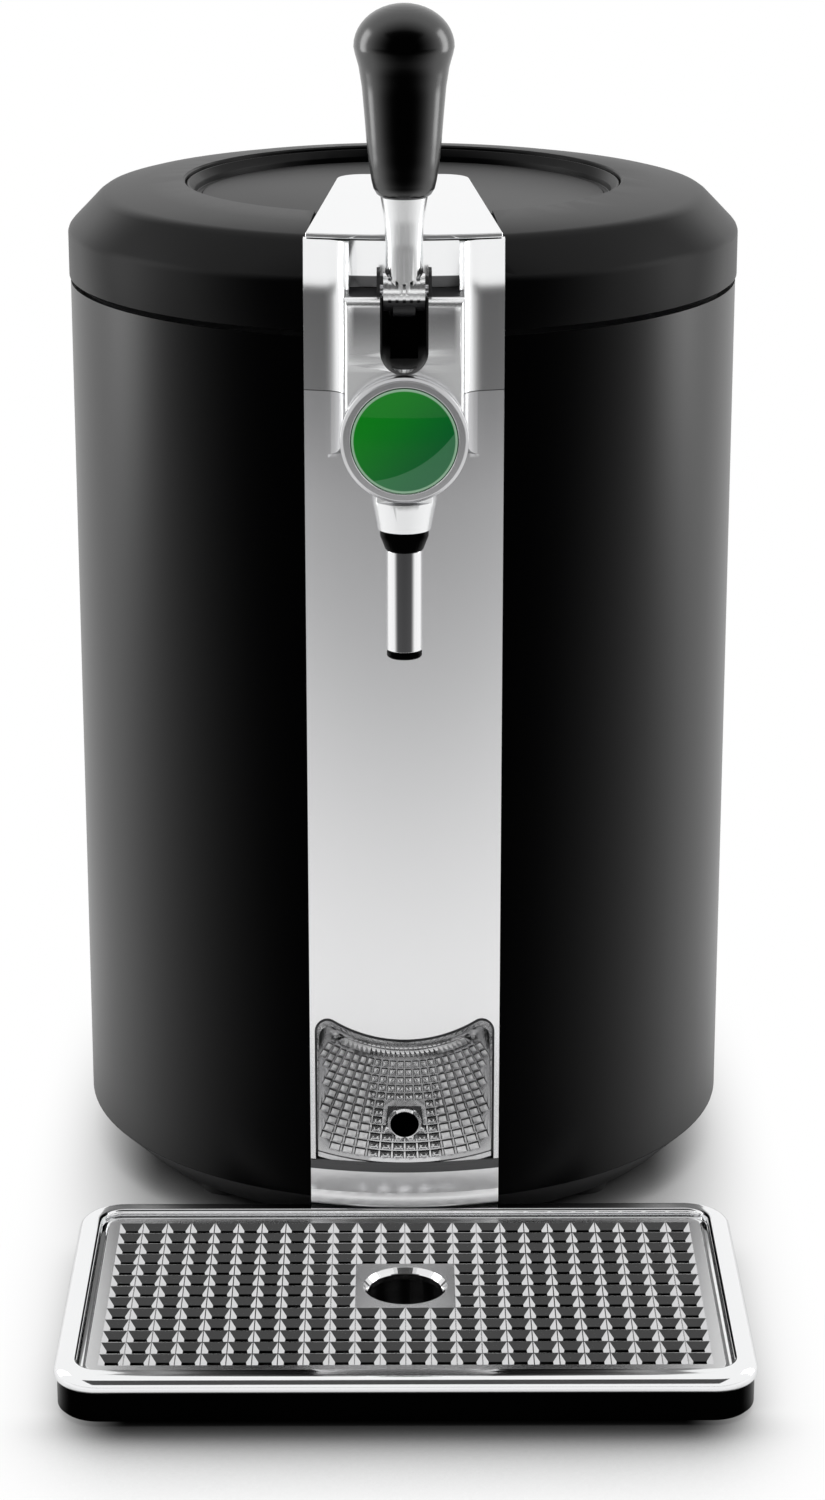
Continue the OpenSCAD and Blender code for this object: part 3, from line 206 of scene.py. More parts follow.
class Shade(Graph):
    """A material under construction, with its surface shader and its Object coordinates."""

    def __init__(self, name, **constants):
        self.material = bpy.data.materials.new(name)
        self.material.use_nodes = True
        super().__init__(self.material.node_tree)
        self.surface = self.tree.nodes["Principled BSDF"]
        for socket, value in constants.items():
            self.surface.inputs[socket.replace("_", " ").title().replace("Ior", "IOR")].default_value = value

    def drive(self, socket, value):
        """Feeds one of the surface shader's own sockets."""
        self.feed(self.surface.inputs[socket], value)

    def lit(self):
        """What the surface shader gives."""
        return Value(self, self.surface.outputs[0])

    def show(self, shader):
        """Puts another shader on the surface."""
        self.feed(self.tree.nodes["Material Output"].inputs["Surface"], shader)

    def emission(self, colour, strength):
        return self.node("ShaderNodeEmission", {}, {"Color": colour, "Strength": strength})

    def coords(self):
        return self.node("ShaderNodeTexCoord", output="Object")

    def axes(self):
        """The X, Y and Z of a point, in metres."""
        return self.split(self.coords())

    def stretched(self, scale):
        return self.node("ShaderNodeMapping", {}, {"Vector": self.coords(), "Scale": scale})

    def noise(self, scale, detail=2.0, rough=0.5, vector=None):
        return self.node(
            "ShaderNodeTexNoise",
            {},
            {"Vector": vector or self.coords(), "Scale": scale, "Detail": detail, "Roughness": rough},
        )

    def haze(self, scale=22.0, detail=4.0):
        """Cloudy unevenness that shows only in the gloss of a polished surface."""
        return self.noise(scale, detail, 0.6)

    def facing(self):
        """0 where a surface looks at the eye, up to 1 where it turns away."""
        return self.node("ShaderNodeLayerWeight", {}, {"Blend": 0.5}, output=1)

    def mix(self, factor, first, second):
        """A colour between two others."""
        return self.node(
            "ShaderNodeMix",
            {"data_type": "RGBA", "clamp_factor": True},
            {0: factor, 6: first, 7: second},
            output=2,
        )

    def bump(self, height, strength, distance):
        self.drive(
            "Normal",
            self.node("ShaderNodeBump", {}, {"Height": height, "Strength": strength, "Distance": distance}),
        )


class Pattern(Graph):
    """A Geometry Nodes tree under construction. Its inputs are named, and hold the values given here."""

    def __init__(self, name, **sizes):
        super().__init__(bpy.data.node_groups.new(name, "GeometryNodeTree"))
        face = self.tree.interface
        face.new_socket("Geometry", in_out="OUTPUT", socket_type="NodeSocketGeometry")
        face.new_socket("Geometry", in_out="INPUT", socket_type="NodeSocketGeometry")
        self.values = {}
        for label, value in sizes.items():
            whole = isinstance(value, int)
            socket = face.new_socket(
                label, in_out="INPUT", socket_type="NodeSocketInt" if whole else "NodeSocketFloat"
            )
            self.values[socket.identifier] = value
        self.entry = self.tree.nodes.new("NodeGroupInput")

    def given(self, label="Geometry"):
        return Value(self, self.entry.outputs[label])

    def vector(self, x=0.0, y=0.0, z=0.0):
        return self.node("ShaderNodeCombineXYZ", {}, {0: x, 1: y, 2: z})

    def mesh_of(self, base, material):
        """The plain mesh that the tree makes from a base mesh, in one material."""
        made = self.node("GeometryNodeRealizeInstances", {}, {0: self.result})
        made = self.node("GeometryNodeMergeByDistance", {}, {"Geometry": made, "Distance": 0.01 * MM})
        made = self.node("GeometryNodeSetMaterial", {}, {"Geometry": made, "Material": material})
        self.node("NodeGroupOutput", {}, {0: made}, output=None)
        carrier = bpy.data.objects.new("carrier", base)
        bpy.context.scene.collection.objects.link(carrier)
        modifier = carrier.modifiers.new("pattern", "NODES")
        modifier.node_group = self.tree
        for identifier, value in self.values.items():
            modifier[identifier] = value
        seen = carrier.evaluated_get(bpy.context.evaluated_depsgraph_get())
        mesh = bpy.data.meshes.new_from_object(seen)
        bpy.data.objects.remove(carrier)
        form = bmesh.new()
        form.from_mesh(mesh)
        bmesh.ops.recalc_face_normals(form, faces=form.faces)
        form.to_mesh(mesh)
        form.free()
        return mesh


def opaque(colour):
    return (*colour, 1.0)


# ---------- finishes ----------


def moulded(name, colour, rough, grain_mm=0.5, relief=0.25, mottling=0.12, **constants):
    """Moulded plastic: a fine spark-eroded grain and a faint unevenness of colour and gloss."""
    shade = Shade(name, **constants)
    grain = shade.noise(1.0 / (grain_mm * MM), 3.0, 0.6)
    cloud = shade.noise(14.0, 3.0)
    deep = [c * (1 - mottling) for c in colour]
    pale = [min(1.0, c * (1 + mottling)) for c in colour]
    shade.drive("Base Color", shade.mix(cloud, opaque(deep), opaque(pale)))
    shade.drive("Roughness", cloud.ramp(0.25, 0.75, rough - 0.03, rough + 0.03) + (grain - 0.5) * 0.04)
    shade.bump(grain, relief, 0.06 * MM)
    return shade.material


def polished(name, colour, rough, haze=0.03, **constants):
    """Polished or plated metal: clean, with a faint haze of wiping that only shows in the gloss."""
    shade = Shade(name, metallic=1.0, **constants)
    haze_cloud = shade.haze()
    wipe = shade.noise(60.0, 2.0, 0.5, shade.stretched((1.0, 1.0, 0.15)))
    shade.drive("Base Color", shade.mix(haze_cloud, opaque([c * 0.97 for c in colour]), opaque(colour)))
    shade.drive("Roughness", rough + haze_cloud.ramp(0.35, 0.8, 0.0, haze) + wipe * (haze * 0.4))
    return shade.material


def machined(name, colour, rough, line_mm=0.35, along="Z", relief=0.12):
    """Drawn or ground metal: fine lines along one direction."""
    shade = Shade(name, metallic=1.0)
    scale = [1.0, 1.0, 1.0]
    scale["XYZ".index(along)] = 0.02
    lines = shade.noise(1.0 / (line_mm * MM), 2.0, 0.6, shade.stretched(tuple(scale)))
    shade.drive("Base Color", shade.mix(lines, opaque([c * 0.9 for c in colour]), opaque(colour)))
    shade.drive("Roughness", rough + (lines - 0.5) * 0.12)
    shade.bump(lines, relief, 0.02 * MM)
    return shade.material


def satin_black(name, colour, edge_gloss, rough, grain_mm, relief, coat_ior=1.45):
    """Satin black plastic: nearly no gloss face on, and a soft sheen that grows towards its edges.

    edge_gloss lists steps of that sheen as (where it starts, where it is full, how much it adds).
    """
    shade = Shade(name, roughness=0.6, specular_ior_level=0.0, coat_roughness=rough, coat_ior=coat_ior)
    grain = shade.noise(1.0 / (grain_mm * MM), 3.0, 0.6)
    cloud = shade.noise(9.0, 3.0)
    shade.drive(
        "Base Color", shade.mix(cloud, opaque([c * 0.85 for c in colour]), opaque([c * 1.15 for c in colour]))
    )
    facing = shade.facing()
    steps = [facing.ramp(start, full, 0.0, gain) for start, full, gain in edge_gloss]
    shade.drive("Coat Weight", sum(steps[1:], steps[0]))
    shade.bump(grain, relief, 0.05 * MM)
    return shade.material


def tower_metal():
    """Plated metal of the tower, with painted shade at the foot of its front wall, between the shoulders, and on its
    outer shoulders below the break.

    A thin dark line marks the seam where the tower stands on the column.
    """
    shade = Shade("tap_metal", metallic=1.0)
    x, _, z = shade.axes()
    side = x.maths("ABSOLUTE")
    shoulder = side.ramp(20.0 * MM, 20.6 * MM)
    # Painted shade: a dark band at the foot of the front wall between the shoulders, where a shadowed recess would
    # be.
    recess_shade = z.ramp(BREAK_Z + 3.6 * MM, BREAK_Z + 4.0 * MM, 1.0, 0.0) * (1.0 - shoulder)
    seam = z.ramp(SEAM_Z - 0.2 * MM, SEAM_Z - 0.1 * MM) * z.ramp(SEAM_Z + 0.3 * MM, SEAM_Z + 0.4 * MM, 1.0, 0.0)
    dark = recess_shade.maths("MAXIMUM", seam * shoulder)
    # Painted shade: the outer shoulders below the break are plated darker than the rest.
    upright = z.ramp(BREAK_Z - 4.5 * MM, BREAK_Z + 1 * MM, 1.0, 0.0) * side.ramp(24 * MM, 29.5 * MM)
    haze = shade.haze()
    plated = shade.mix(upright, opaque(PLATED), opaque((0.40, 0.40, 0.405)))
    shade.drive("Base Color", shade.mix(dark, plated, opaque((0.10, 0.10, 0.102))))
    shade.drive("Roughness", 0.16 + haze * 0.02 + dark * 0.1)
    return shade.material


def housing_metal():
    """The niche's lining: pale polished walls, and a dark grey edge where it meets the column's front."""
    shade = Shade("housing_metal", metallic=1.0)
    x, y, _ = shade.axes()
    inward = y - AXIS_Y
    edge = ((x * x + inward * inward) ** 0.5).ramp(COLUMN_R - 0.5 * MM, COLUMN_R - 0.3 * MM)
    haze = shade.haze(30.0, 3.0)
    shade.drive("Base Color", shade.mix(edge, opaque((0.80, 0.80, 0.805)), opaque((0.045, 0.045, 0.047))))
    shade.drive("Roughness", 0.14 + haze * 0.03 + edge * 0.15)
    return shade.material


def splash_steel():
    """Polished steel of the splash grid: pale ridges and pits, with painted shade as a darker line round each pit.

    The pits at the two sides are painted pale and their ridges darker, as a painted reflection; those in the middle
    are greyer, and a dark plate holds the drain.
    off is the distance from the middle, depth that below the grid's plane and up that along its slope, all in
    millimetres. The plate narrows on its way up.
    """
    shade = Shade("splash_steel", metallic=1.0)
    x, y, z = shade.axes()
    slope = math.radians(SPLASH_SLOPE)
    off = x.maths("ABSOLUTE") * (1 / MM)
    depth = ((y - AXIS_Y + NICHE_FRONT) * math.sin(slope) - (z - NICHE_Z) * math.cos(slope)) * (1 / MM)
    up = (z - NICHE_Z) * (1 / (MM * math.sin(slope)))
    side = off.ramp(13.0, 14.5)
    # Painted shade: a dark line on the walls of each pit.
    wall = depth.ramp(0.1, 0.2) * depth.ramp(0.4, 0.55, 1.0, 0.0)
    pit = depth.ramp(0.4, 0.55)
    plate = (off + up * 0.1).ramp(8.9, 9.1, 1.0, 0.0) * up.ramp(10.0, 10.2) * up.ramp(24.2, 24.4, 1.0, 0.0)
    plate = plate * depth.ramp(0.05, 0.15, 1.0, 0.0)
    haze = shade.haze(30.0, 3.0)
    # Painted reflection: at the two sides the pits are painted pale and the ridges darker.
    ridge = shade.mix(side, opaque((0.62, 0.62, 0.625)), opaque((0.42, 0.42, 0.425)))
    steel = shade.mix(side * pit, ridge, opaque((0.97, 0.97, 0.975)))
    steel = shade.mix(plate, steel, opaque((0.14, 0.14, 0.142)))
    shade.drive("Base Color", shade.mix(wall, steel, opaque((0.03, 0.03, 0.031))))
    shade.drive("Roughness", 0.14 + haze * 0.03 + side * pit * 0.4)
    return shade.material


def foot_steel():
    """Polished foot of the column under its dark grey flange."""
    shade = Shade("foot_steel", metallic=1.0)
    _, _, z = shade.axes()
    flange = z.ramp(NICHE_Z - 3.7 * MM, NICHE_Z - 3.5 * MM)
    haze = shade.haze()
    shade.drive("Base Color", shade.mix(flange, opaque((0.84, 0.84, 0.845)), opaque((0.09, 0.09, 0.092))))
    shade.drive("Roughness", 0.36 + haze * 0.03)
    return shade.material


def two_tone(name, start, full, dark_below, rough):
    """Plated metal that turns black at a height: a tap head's deck and hinge cheeks, or a lever's hub.

    Where black starts upwards, the face below it carries painted shade, darker towards its top, but not at its
    sides.
    """
    shade = Shade(name, specular_ior_level=0.3)
    x, _, z = shade.axes()
    black = z.ramp(start, full)
    if dark_below:
        black = 1.0 - black
    haze = shade.haze()
    plated = opaque(PLATED)
    if not dark_below:
        face = x.maths("ABSOLUTE").ramp(17.5 * MM, 20.0 * MM, 1.0, 0.0)
        # Painted shade: a darker band across the face just below the black.
        top = z.ramp(start - 26 * MM, start - 3.5 * MM) * z.ramp(start - 3.4 * MM, start - 2.2 * MM, 1.0, 0.0)
        plated = shade.mix(top * face, plated, opaque((0.28, 0.28, 0.285)))
    shade.drive("Base Color", shade.mix(black, plated, opaque((0.012, 0.012, 0.013))))
    shade.drive("Metallic", 1.0 - black)
    shade.drive("Roughness", rough + haze * 0.02 + black * 0.1)
    return shade.material


def dark_tube():
    """Chrome with a painted reflection: dark face on, and bright only where it turns away to the sides."""
    shade = Shade("tube_metal", metallic=1.0, roughness=0.12, base_color=opaque((0.10, 0.10, 0.103)))
    wipe = shade.noise(60.0, 2.0, 0.5, shade.stretched((1.0, 1.0, 0.15)))
    bright = shade.node(
        "ShaderNodeBsdfPrincipled", {},
        {"Base Color": opaque((0.92, 0.92, 0.925)), "Metallic": 1.0, "Roughness": 0.08 + wipe * 0.03},
    )
    # Painted reflection: dark chrome face on, blended to bright chrome where the tube turns away.
    shade.show(shade.blend(shade.facing().ramp(0.09, 0.21), shade.lit(), bright))
    return shade.material


def slot_lining():
    """Black lining of the lever's slot, with painted light that makes it a little paler on the shelf at its foot."""
    shade = Shade("slot_black", roughness=0.3, specular_ior_level=0.25)
    _, _, z = shade.axes()
    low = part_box("slot_liner")[0].z
    grain = shade.noise(2500.0, 3.0, 0.6)
    # Painted light: the shelf at the foot of the slot is painted paler, as if lit.
    shelf = z.ramp(low + 4 * MM, low + 8 * MM, 1.0, 0.0)
    shade.drive("Base Color", shade.mix(shelf, opaque((0.004, 0.004, 0.004)), opaque((0.14, 0.14, 0.14))))
    shade.bump(grain, 0.05, 0.05 * MM)
    return shade.material


def grid_steel(settings):
    """Steel of the drip grid: satin on its flat top, and polished in the pressed pits below it."""
    shade = Shade("grid_steel", metallic=1.0)
    _, _, z = shade.axes()
    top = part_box("drip_grid")[1].z
    flat = z.ramp(top - 0.05 * MM, top - 0.02 * MM, ease="LINEAR")
    haze = shade.haze(40.0, 3.0)
    shade.drive("Base Color", shade.mix(haze, opaque((0.78, 0.78, 0.785)), opaque((0.82, 0.82, 0.825))))
    shade.drive("Roughness", flat.ramp(0.0, 1.0, settings.pit_roughness, settings.flat_roughness) + haze * 0.02)
    return shade.material


def column_metal():
    """Satin metal of the column: fine upright brushing, with painted light and shade that make it paler towards the
    niche and darker at the tap.
    """
    shade = Shade("column_metal", metallic=1.0)
    _, _, z = shade.axes()
    lines = shade.noise(2600.0, 2.0, 0.6, shade.stretched((1.0, 1.0, 0.02)))
    # Painted light and shade: pale low down towards the niche, darker up at the tap.
    pale = z.ramp(0.05, 0.30, 1.0, 0.0)
    top = z.ramp(0.30, 0.35)
    upper = shade.mix(top, opaque((0.68, 0.68, 0.69)), opaque((0.52, 0.52, 0.53)))
    shade.drive("Base Color", shade.mix(pale, upper, opaque((0.87, 0.87, 0.875))))
    shade.drive("Roughness", 0.23 + (lines - 0.5) * 0.05)
    shade.bump(lines, 0.05, 0.01 * MM)
    return shade.material


def lens_green(settings):
    """Badge: printed green under a clear dome, brighter at the top left, with a painted highlight at the foot and a
    pale painted highlight round its rim.
    """
    shade = Shade("badge_green", coat_weight=0.3, coat_roughness=0.03, roughness=0.4, specular_ior_level=0.0)
    x, _, z = shade.axes()
    low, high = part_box("badge_lens")
    badge_r = (high.x - low.x) / 2
    up = z - (low.z + high.z) / 2
    across = (x - up) * (1 / badge_r)
    radius = (x * x + up * up) ** 0.5
    green = shade.mix(across.ramp(-1.3, 1.3), opaque(settings.badge_light), opaque(settings.badge_deep))
    side, rise = x + badge_r * 0.9, up - badge_r * 1.5
    # Painted highlight: a pale wedge at the foot of the dome.
    foot_highlight = ((side * side + rise * rise) ** 0.5).ramp(badge_r * 2.27, badge_r * 2.29, 0.0, 0.16)
    highlighted = shade.mix(foot_highlight, green, opaque((0.30, 0.62, 0.42)))
    # Painted highlight: a pale ring along the rim.
    rim = radius.ramp(badge_r * 0.945, badge_r * 0.97)
    shade.drive("Base Color", shade.mix(rim, highlighted, opaque((0.34, 0.56, 0.38))))
    return shade.material


def foam(name, colour):
    """Closed-cell foam: small round cells and a soft colour."""
    shade = Shade(name, roughness=0.95)
    cells = shade.node("ShaderNodeTexVoronoi", {}, {"Vector": shade.coords(), "Scale": 700.0})
    cloud = shade.noise(30.0, 3.0)
    shade.drive("Base Color", shade.mix(cloud, opaque([c * 0.85 for c in colour]), opaque(colour)))
    shade.bump(cells, 0.5, 0.4 * MM)
    return shade.material


def circuit_board():
    """Green solder mask over copper tracks that show as paler lines, with black components above it."""
    shade = Shade("circuit_green", coat_weight=0.4, coat_roughness=0.2)
    x, y, z = shade.axes()
    lanes = ((x * 420.0).maths("SINE") * (y * 260.0).maths("COSINE")).ramp(0.55, 0.62, ease="LINEAR")
    component = z.ramp(16.2 * MM, 16.6 * MM, ease="LINEAR")
    mask = shade.mix(lanes, opaque((0.01, 0.11, 0.04)), opaque((0.05, 0.26, 0.09)))
    shade.drive("Base Color", shade.mix(component, mask, opaque((0.03, 0.03, 0.035))))
    shade.drive("Roughness", 0.35 + lanes * 0.1)
    return shade.material


def finishes(settings):
    """Every finish of the machine: by its slot in the record, or by its own name where one piece's is finer."""
    black = settings.casing_colour
    return {
        "base_plastic": moulded("base_plastic", (0.010, 0.010, 0.011), 0.5, 0.6, 0.3),
        "rubber": moulded("rubber", (0.012, 0.012, 0.012), 0.75, 0.3, 0.4),
        "steel_screw": machined("steel_screw", (0.60, 0.60, 0.61), 0.3, 0.2),
        "casing_black": satin_black("casing_black", black, [(0.08, 0.58, 1.0)], 0.33, 0.35, 0.10),
        "panel_black": moulded("panel_black", (0.013, 0.013, 0.014), 0.45, 0.5, 0.3),
        "inlet_black": moulded("inlet_black", (0.012, 0.012, 0.013), 0.3, 0.4, 0.1),
        "contact_metal": machined("contact_metal", (0.78, 0.72, 0.55), 0.25, 0.15, "Y"),
        "rocker_red": moulded("rocker_red", (0.42, 0.012, 0.014), 0.25, 0.4, 0.05, coat_weight=0.3),
        "chassis_grey": moulded("chassis_grey", (0.055, 0.058, 0.062), 0.5, 0.6, 0.3),
        "foam": foam("foam", (0.80, 0.75, 0.62)),
        "aluminium": machined("aluminium", (0.78, 0.79, 0.80), 0.3, 0.4),
        "ceramic_white": moulded("ceramic_white", (0.78, 0.78, 0.74), 0.5, 0.15, 0.2, 0.04),
        "circuit_green": circuit_board(),
        "deck_grey": moulded("deck_grey", (0.030, 0.030, 0.032), 0.45, 0.6, 0.3),
        "satin_metal": column_metal(),
        "chrome": polished("chrome", PLATED, 0.07, 0.02),
        "tap_metal": tower_metal(),
        "head_metal": two_tone("head_metal", LIP_Z - 0.35 * MM, LIP_Z - 0.05 * MM, False, 0.26),
        "stem_metal": two_tone("stem_metal", LIP_Z - 1.6 * MM, LIP_Z - 0.8 * MM, True, 0.22),
        "tube_metal": dark_tube(),
        "housing_metal": housing_metal(),
        "splash_steel": splash_steel(),
        "foot_steel": foot_steel(),
        "grid_steel": grid_steel(settings),
        "stainless": polished("stainless", (0.80, 0.80, 0.805), 0.12, 0.03),
        "slot_black": slot_lining(),
        "badge_green": lens_green(settings),
        "gloss_black": satin_black(
            "gloss_black", (0.0008, 0.0008, 0.0008), [(0.03, 0.34, 1.0)], 0.22, 0.8, 0.0, 1.75
        ),
        "jaw_black": satin_black("jaw_black", (0.0012, 0.0012, 0.0012), [(0.3, 0.9, 0.6)], 0.4, 0.4, 0.1),
        "pin_steel": machined("pin_steel", (0.58, 0.58, 0.60), 0.25, 0.1, "X"),
        "lid_black": satin_black(
            "lid_black", settings.lid_colour, [(0.06, 0.25, 0.33), (0.5, 0.75, 0.55)], 0.42, 0.4, 0.2
        ),
        "liner_grey": moulded("liner_grey", (0.50, 0.51, 0.52), 0.45, 0.6, 0.15, 0.03),
        "trough_black": satin_black("trough_black", (0.0012, 0.0012, 0.0012), [(0.35, 0.9, 0.8)], 0.25, 0.5, 0.1),
    }


SLOTS = {part["node"]: part["material_slot"] for part in frame["record"]["subparts"]}
FINISH = {}


def paint(piece, finish):
    """Gives a piece one finish all over."""
    piece.data.materials.clear()
    piece.data.materials.append(FINISH[finish])


# ---------- pieces ----------


def solid_copy(node, join_flats=True, merge_mm=0.001, levels=()):
    """A merged copy of a CAD node's mesh, with its flat faces joined.

    Rows of vertices at the given heights keep soft shading from running along the whole piece.
    """
    form = bmesh.new()
    form.from_mesh(NODES[node].data)
    bmesh.ops.remove_doubles(form, verts=form.verts, dist=merge_mm * MM)
    if join_flats:
        bmesh.ops.dissolve_limit(form, angle_limit=math.radians(0.4), verts=form.verts, edges=form.edges)
    for z in levels:
        everything = form.verts[:] + form.edges[:] + form.faces[:]
        bmesh.ops.bisect_plane(form, geom=everything, dist=1e-7, plane_co=(0, 0, z), plane_no=(0, 0, 1))
    mesh = bpy.data.meshes.new(node + "_skin")
    form.to_mesh(mesh)
    form.free()
    return mesh


def add_piece(name, mesh, body, slot, *replaced):
    piece = bpy.data.objects.new(name, mesh)
    bpy.context.scene.collection.objects.link(piece)
    paint(piece, slot)
    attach(piece, body)
    if replaced:
        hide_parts(*replaced)
    return piece


def round_edges(piece, width_mm, segments=2, angle=28.0):
    bevel = piece.modifiers.new("round_edges", "BEVEL")
    bevel.width = width_mm * MM
    bevel.segments = segments
    bevel.limit_method = "ANGLE"
    bevel.angle_limit = math.radians(angle)
    bevel.miter_outer = "MITER_ARC"
    bevel.harden_normals = True


def turned(radius, z, count=48, centre=(0.0, 0.0)):
    """Points of a circle, in millimetres."""
    steps = [2 * math.pi * i / count for i in range(count)]
    return [(centre[0] + radius * math.cos(a), centre[1] + radius * math.sin(a), z) for a in steps]


def rounded_loop(half_x, half_y, corner, z, steps=8):
    """Points of a rectangle with round corners, in millimetres."""
    points = []
    for turn, (side_x, side_y) in enumerate(((1, 1), (-1, 1), (-1, -1), (1, -1))):
        for i in range(steps + 1):
            a = math.radians(90 * turn + 90 * i / steps)
            x = side_x * (half_x - corner) + corner * math.cos(a)
            y = side_y * (half_y - corner) + corner * math.sin(a)
            points.append((x, y, z))
    return points


def stepped_loop(half_x, half_y, count_x, count_y, z, centre_y=0.0):
    """Points of a rectangle with a point at each cell's corner, in millimetres."""
    across = [-half_x + 2 * half_x * i / count_x for i in range(count_x + 1)]
    along = [-half_y + 2 * half_y * i / count_y for i in range(count_y + 1)]
    flat = [(half_x, y) for y in along[:-1]] + [(x, half_y) for x in reversed(across[1:])]
    flat += [(-half_x, y) for y in reversed(along[1:])] + [(x, -half_y) for x in across[:-1]]
    return [(x, y + centre_y, z) for x, y in flat]


def band(form, loops):
    """Joins closed loops of as many points each, one after the other."""
    rows = [[form.verts.new(point) for point in loop] for loop in loops]
    for low, high in zip(rows, rows[1:]):
        for i in range(len(low)):
            j = (i + 1) % len(low)
            form.faces.new((low[i], low[j], high[j], high[i]))


def holed(form, outer, inner):
    """A flat face between an outer and an inner loop."""
    points = [form.verts.new(point) for point in outer + inner]
    for corners in tessellate_polygon([[Vector(p) for p in outer], [Vector(p) for p in inner]]):
        form.faces.new([points[i] for i in corners])


def dress(node, width_mm, finish=None, segments=2, angle=28.0, **copying):
    """Stands for a CAD node with a smooth-shaded copy that has rounded edges, and a finer finish if one is named."""
    mesh = solid_copy(node, width_mm > 0, **copying)
    mesh.shade_smooth()
    mesh.set_sharp_from_angle(angle=math.radians(angle))
    piece = add_piece(node + "_skin", mesh, BODY_OF[node], SLOTS[node], node)
    if finish:
        paint(piece, finish)
    if width_mm:
        round_edges(piece, width_mm, segments, angle)
    return piece


# ---------- settings ----------


class DispenserSettings(bpy.types.PropertyGroup):
    """Sizes and colours that a user would change."""

    casing_colour: FloatVectorProperty(
        name="Casing colour", description="Satin black of the round casing", subtype="COLOR", size=3,
        default=(0.0010, 0.0010, 0.0011), min=0.0, max=1.0,
    )
    lid_colour: FloatVectorProperty(
        name="Lid colour", description="Matte black of the lid", subtype="COLOR", size=3,
        default=(0.0016, 0.0016, 0.0017), min=0.0, max=1.0,
    )
    badge_light: FloatVectorProperty(
        name="Badge light green", description="Green at the badge's top left", subtype="COLOR", size=3,
        default=(0.006, 0.255, 0.014), min=0.0, max=1.0,
    )
    badge_deep: FloatVectorProperty(
        name="Badge deep green", description="Green at the badge's lower right", subtype="COLOR", size=3,
        default=(0.003, 0.120, 0.028), min=0.0, max=1.0,
    )
    pit_pitch: FloatProperty(
        name="Pit pitch", description="Distance between the drip grid's pits, in millimetres", default=9.27, min=4.0,
    )
    pit_columns: IntProperty(name="Pit columns", description="Pits across the drip grid", default=24, min=6)
    pit_lines: IntProperty(
        name="Pit lines", description="Pits from the drip grid's back to its front", default=13, min=6,
    )
    pit_top: FloatProperty(
        name="Pit top", description="Half the width of a pit at its top, in millimetres", default=4.435, min=1.0,
    )
    pit_foot: FloatProperty(
        name="Pit foot", description="Half the width of a pit at its foot, in millimetres", default=2.41, min=0.5,
    )
    pit_roughness: FloatProperty(
        name="Pit roughness", description="Roughness of the polished pits", default=0.06, min=0.0, max=1.0,
    )
    flat_roughness: FloatProperty(
        name="Flat roughness", description="Roughness of the drip grid's flat top", default=0.26, min=0.0, max=1.0,
    )


class StudioSettings(bpy.types.PropertyGroup):
    """The stage round the machine."""

    floor_colour: FloatVectorProperty(
        name="Floor colour", description="Colour of the floor near the machine", subtype="COLOR", size=3,
        default=(0.93, 0.93, 0.93), min=0.0, max=1.0,
    )
    top_power: FloatProperty(
        name="Top light", description="Power of the large light above", default=36.0, min=0.0, unit="POWER",
    )
    side_power: FloatProperty(
        name="Side lights", description="Power of each upright side light", default=6.0, min=0.0, unit="POWER",
    )


# ---------- operators ----------


class DISPENSER_OT_finishes(bpy.types.Operator):
    """Makes every finish of the machine and paints the CAD nodes"""

    bl_idname = "dispenser.finishes"
    bl_label = "Finishes"

    def execute(self, context):
        FINISH.update(finishes(context.scene.dispenser))
        for node, piece in NODES.items():
            paint(piece, SLOTS[node])
        return {"FINISHED"}


class DISPENSER_OT_casing(bpy.types.Operator):
    """Casing, base and lid with rounded edges"""

    bl_idname = "dispenser.casing"
    bl_label = "Casing and lid"

    def execute(self, context):
        for node, width in {
            "casing_shell": 0.4, "base_pan": 0.5, "lid_shell": 0.6, "lid_insert": 0.4, "rear_panel": 0.4,
            "top_deck": 0.4,
        }.items():
            dress(node, width)
        return {"FINISHED"}


class DISPENSER_OT_tap(bpy.types.Operator):
    """Tower, tap head, spout and lever"""

    bl_idname = "dispenser.tap"
    bl_label = "Tap"

    def execute(self, context):
        for node, width, finish in (
            ("top_plate", 0.8, None), ("badge_ring", 0.3, None), ("badge_lens", 0.0, None),
            ("spout_collar", 0.3, "jaw_black"), ("spout_tube", 0.2, "tube_metal"), ("spout_tip", 0.2, "jaw_black"),
            ("lever_stem", 0.3, "stem_metal"), ("lever_knob", 0.0, None), ("slot_liner", 0.0, None),
            ("pinch_jaw", 0.2, "jaw_black"),
        ):
            dress(node, width, finish)
        dress("tap_tower", 0.6, "tap_metal", merge_mm=0.12, levels=[BREAK_Z - 4 * MM, BREAK_Z + 4 * MM])
        dress("tap_head", 0.6, "head_metal")
        return {"FINISHED"}


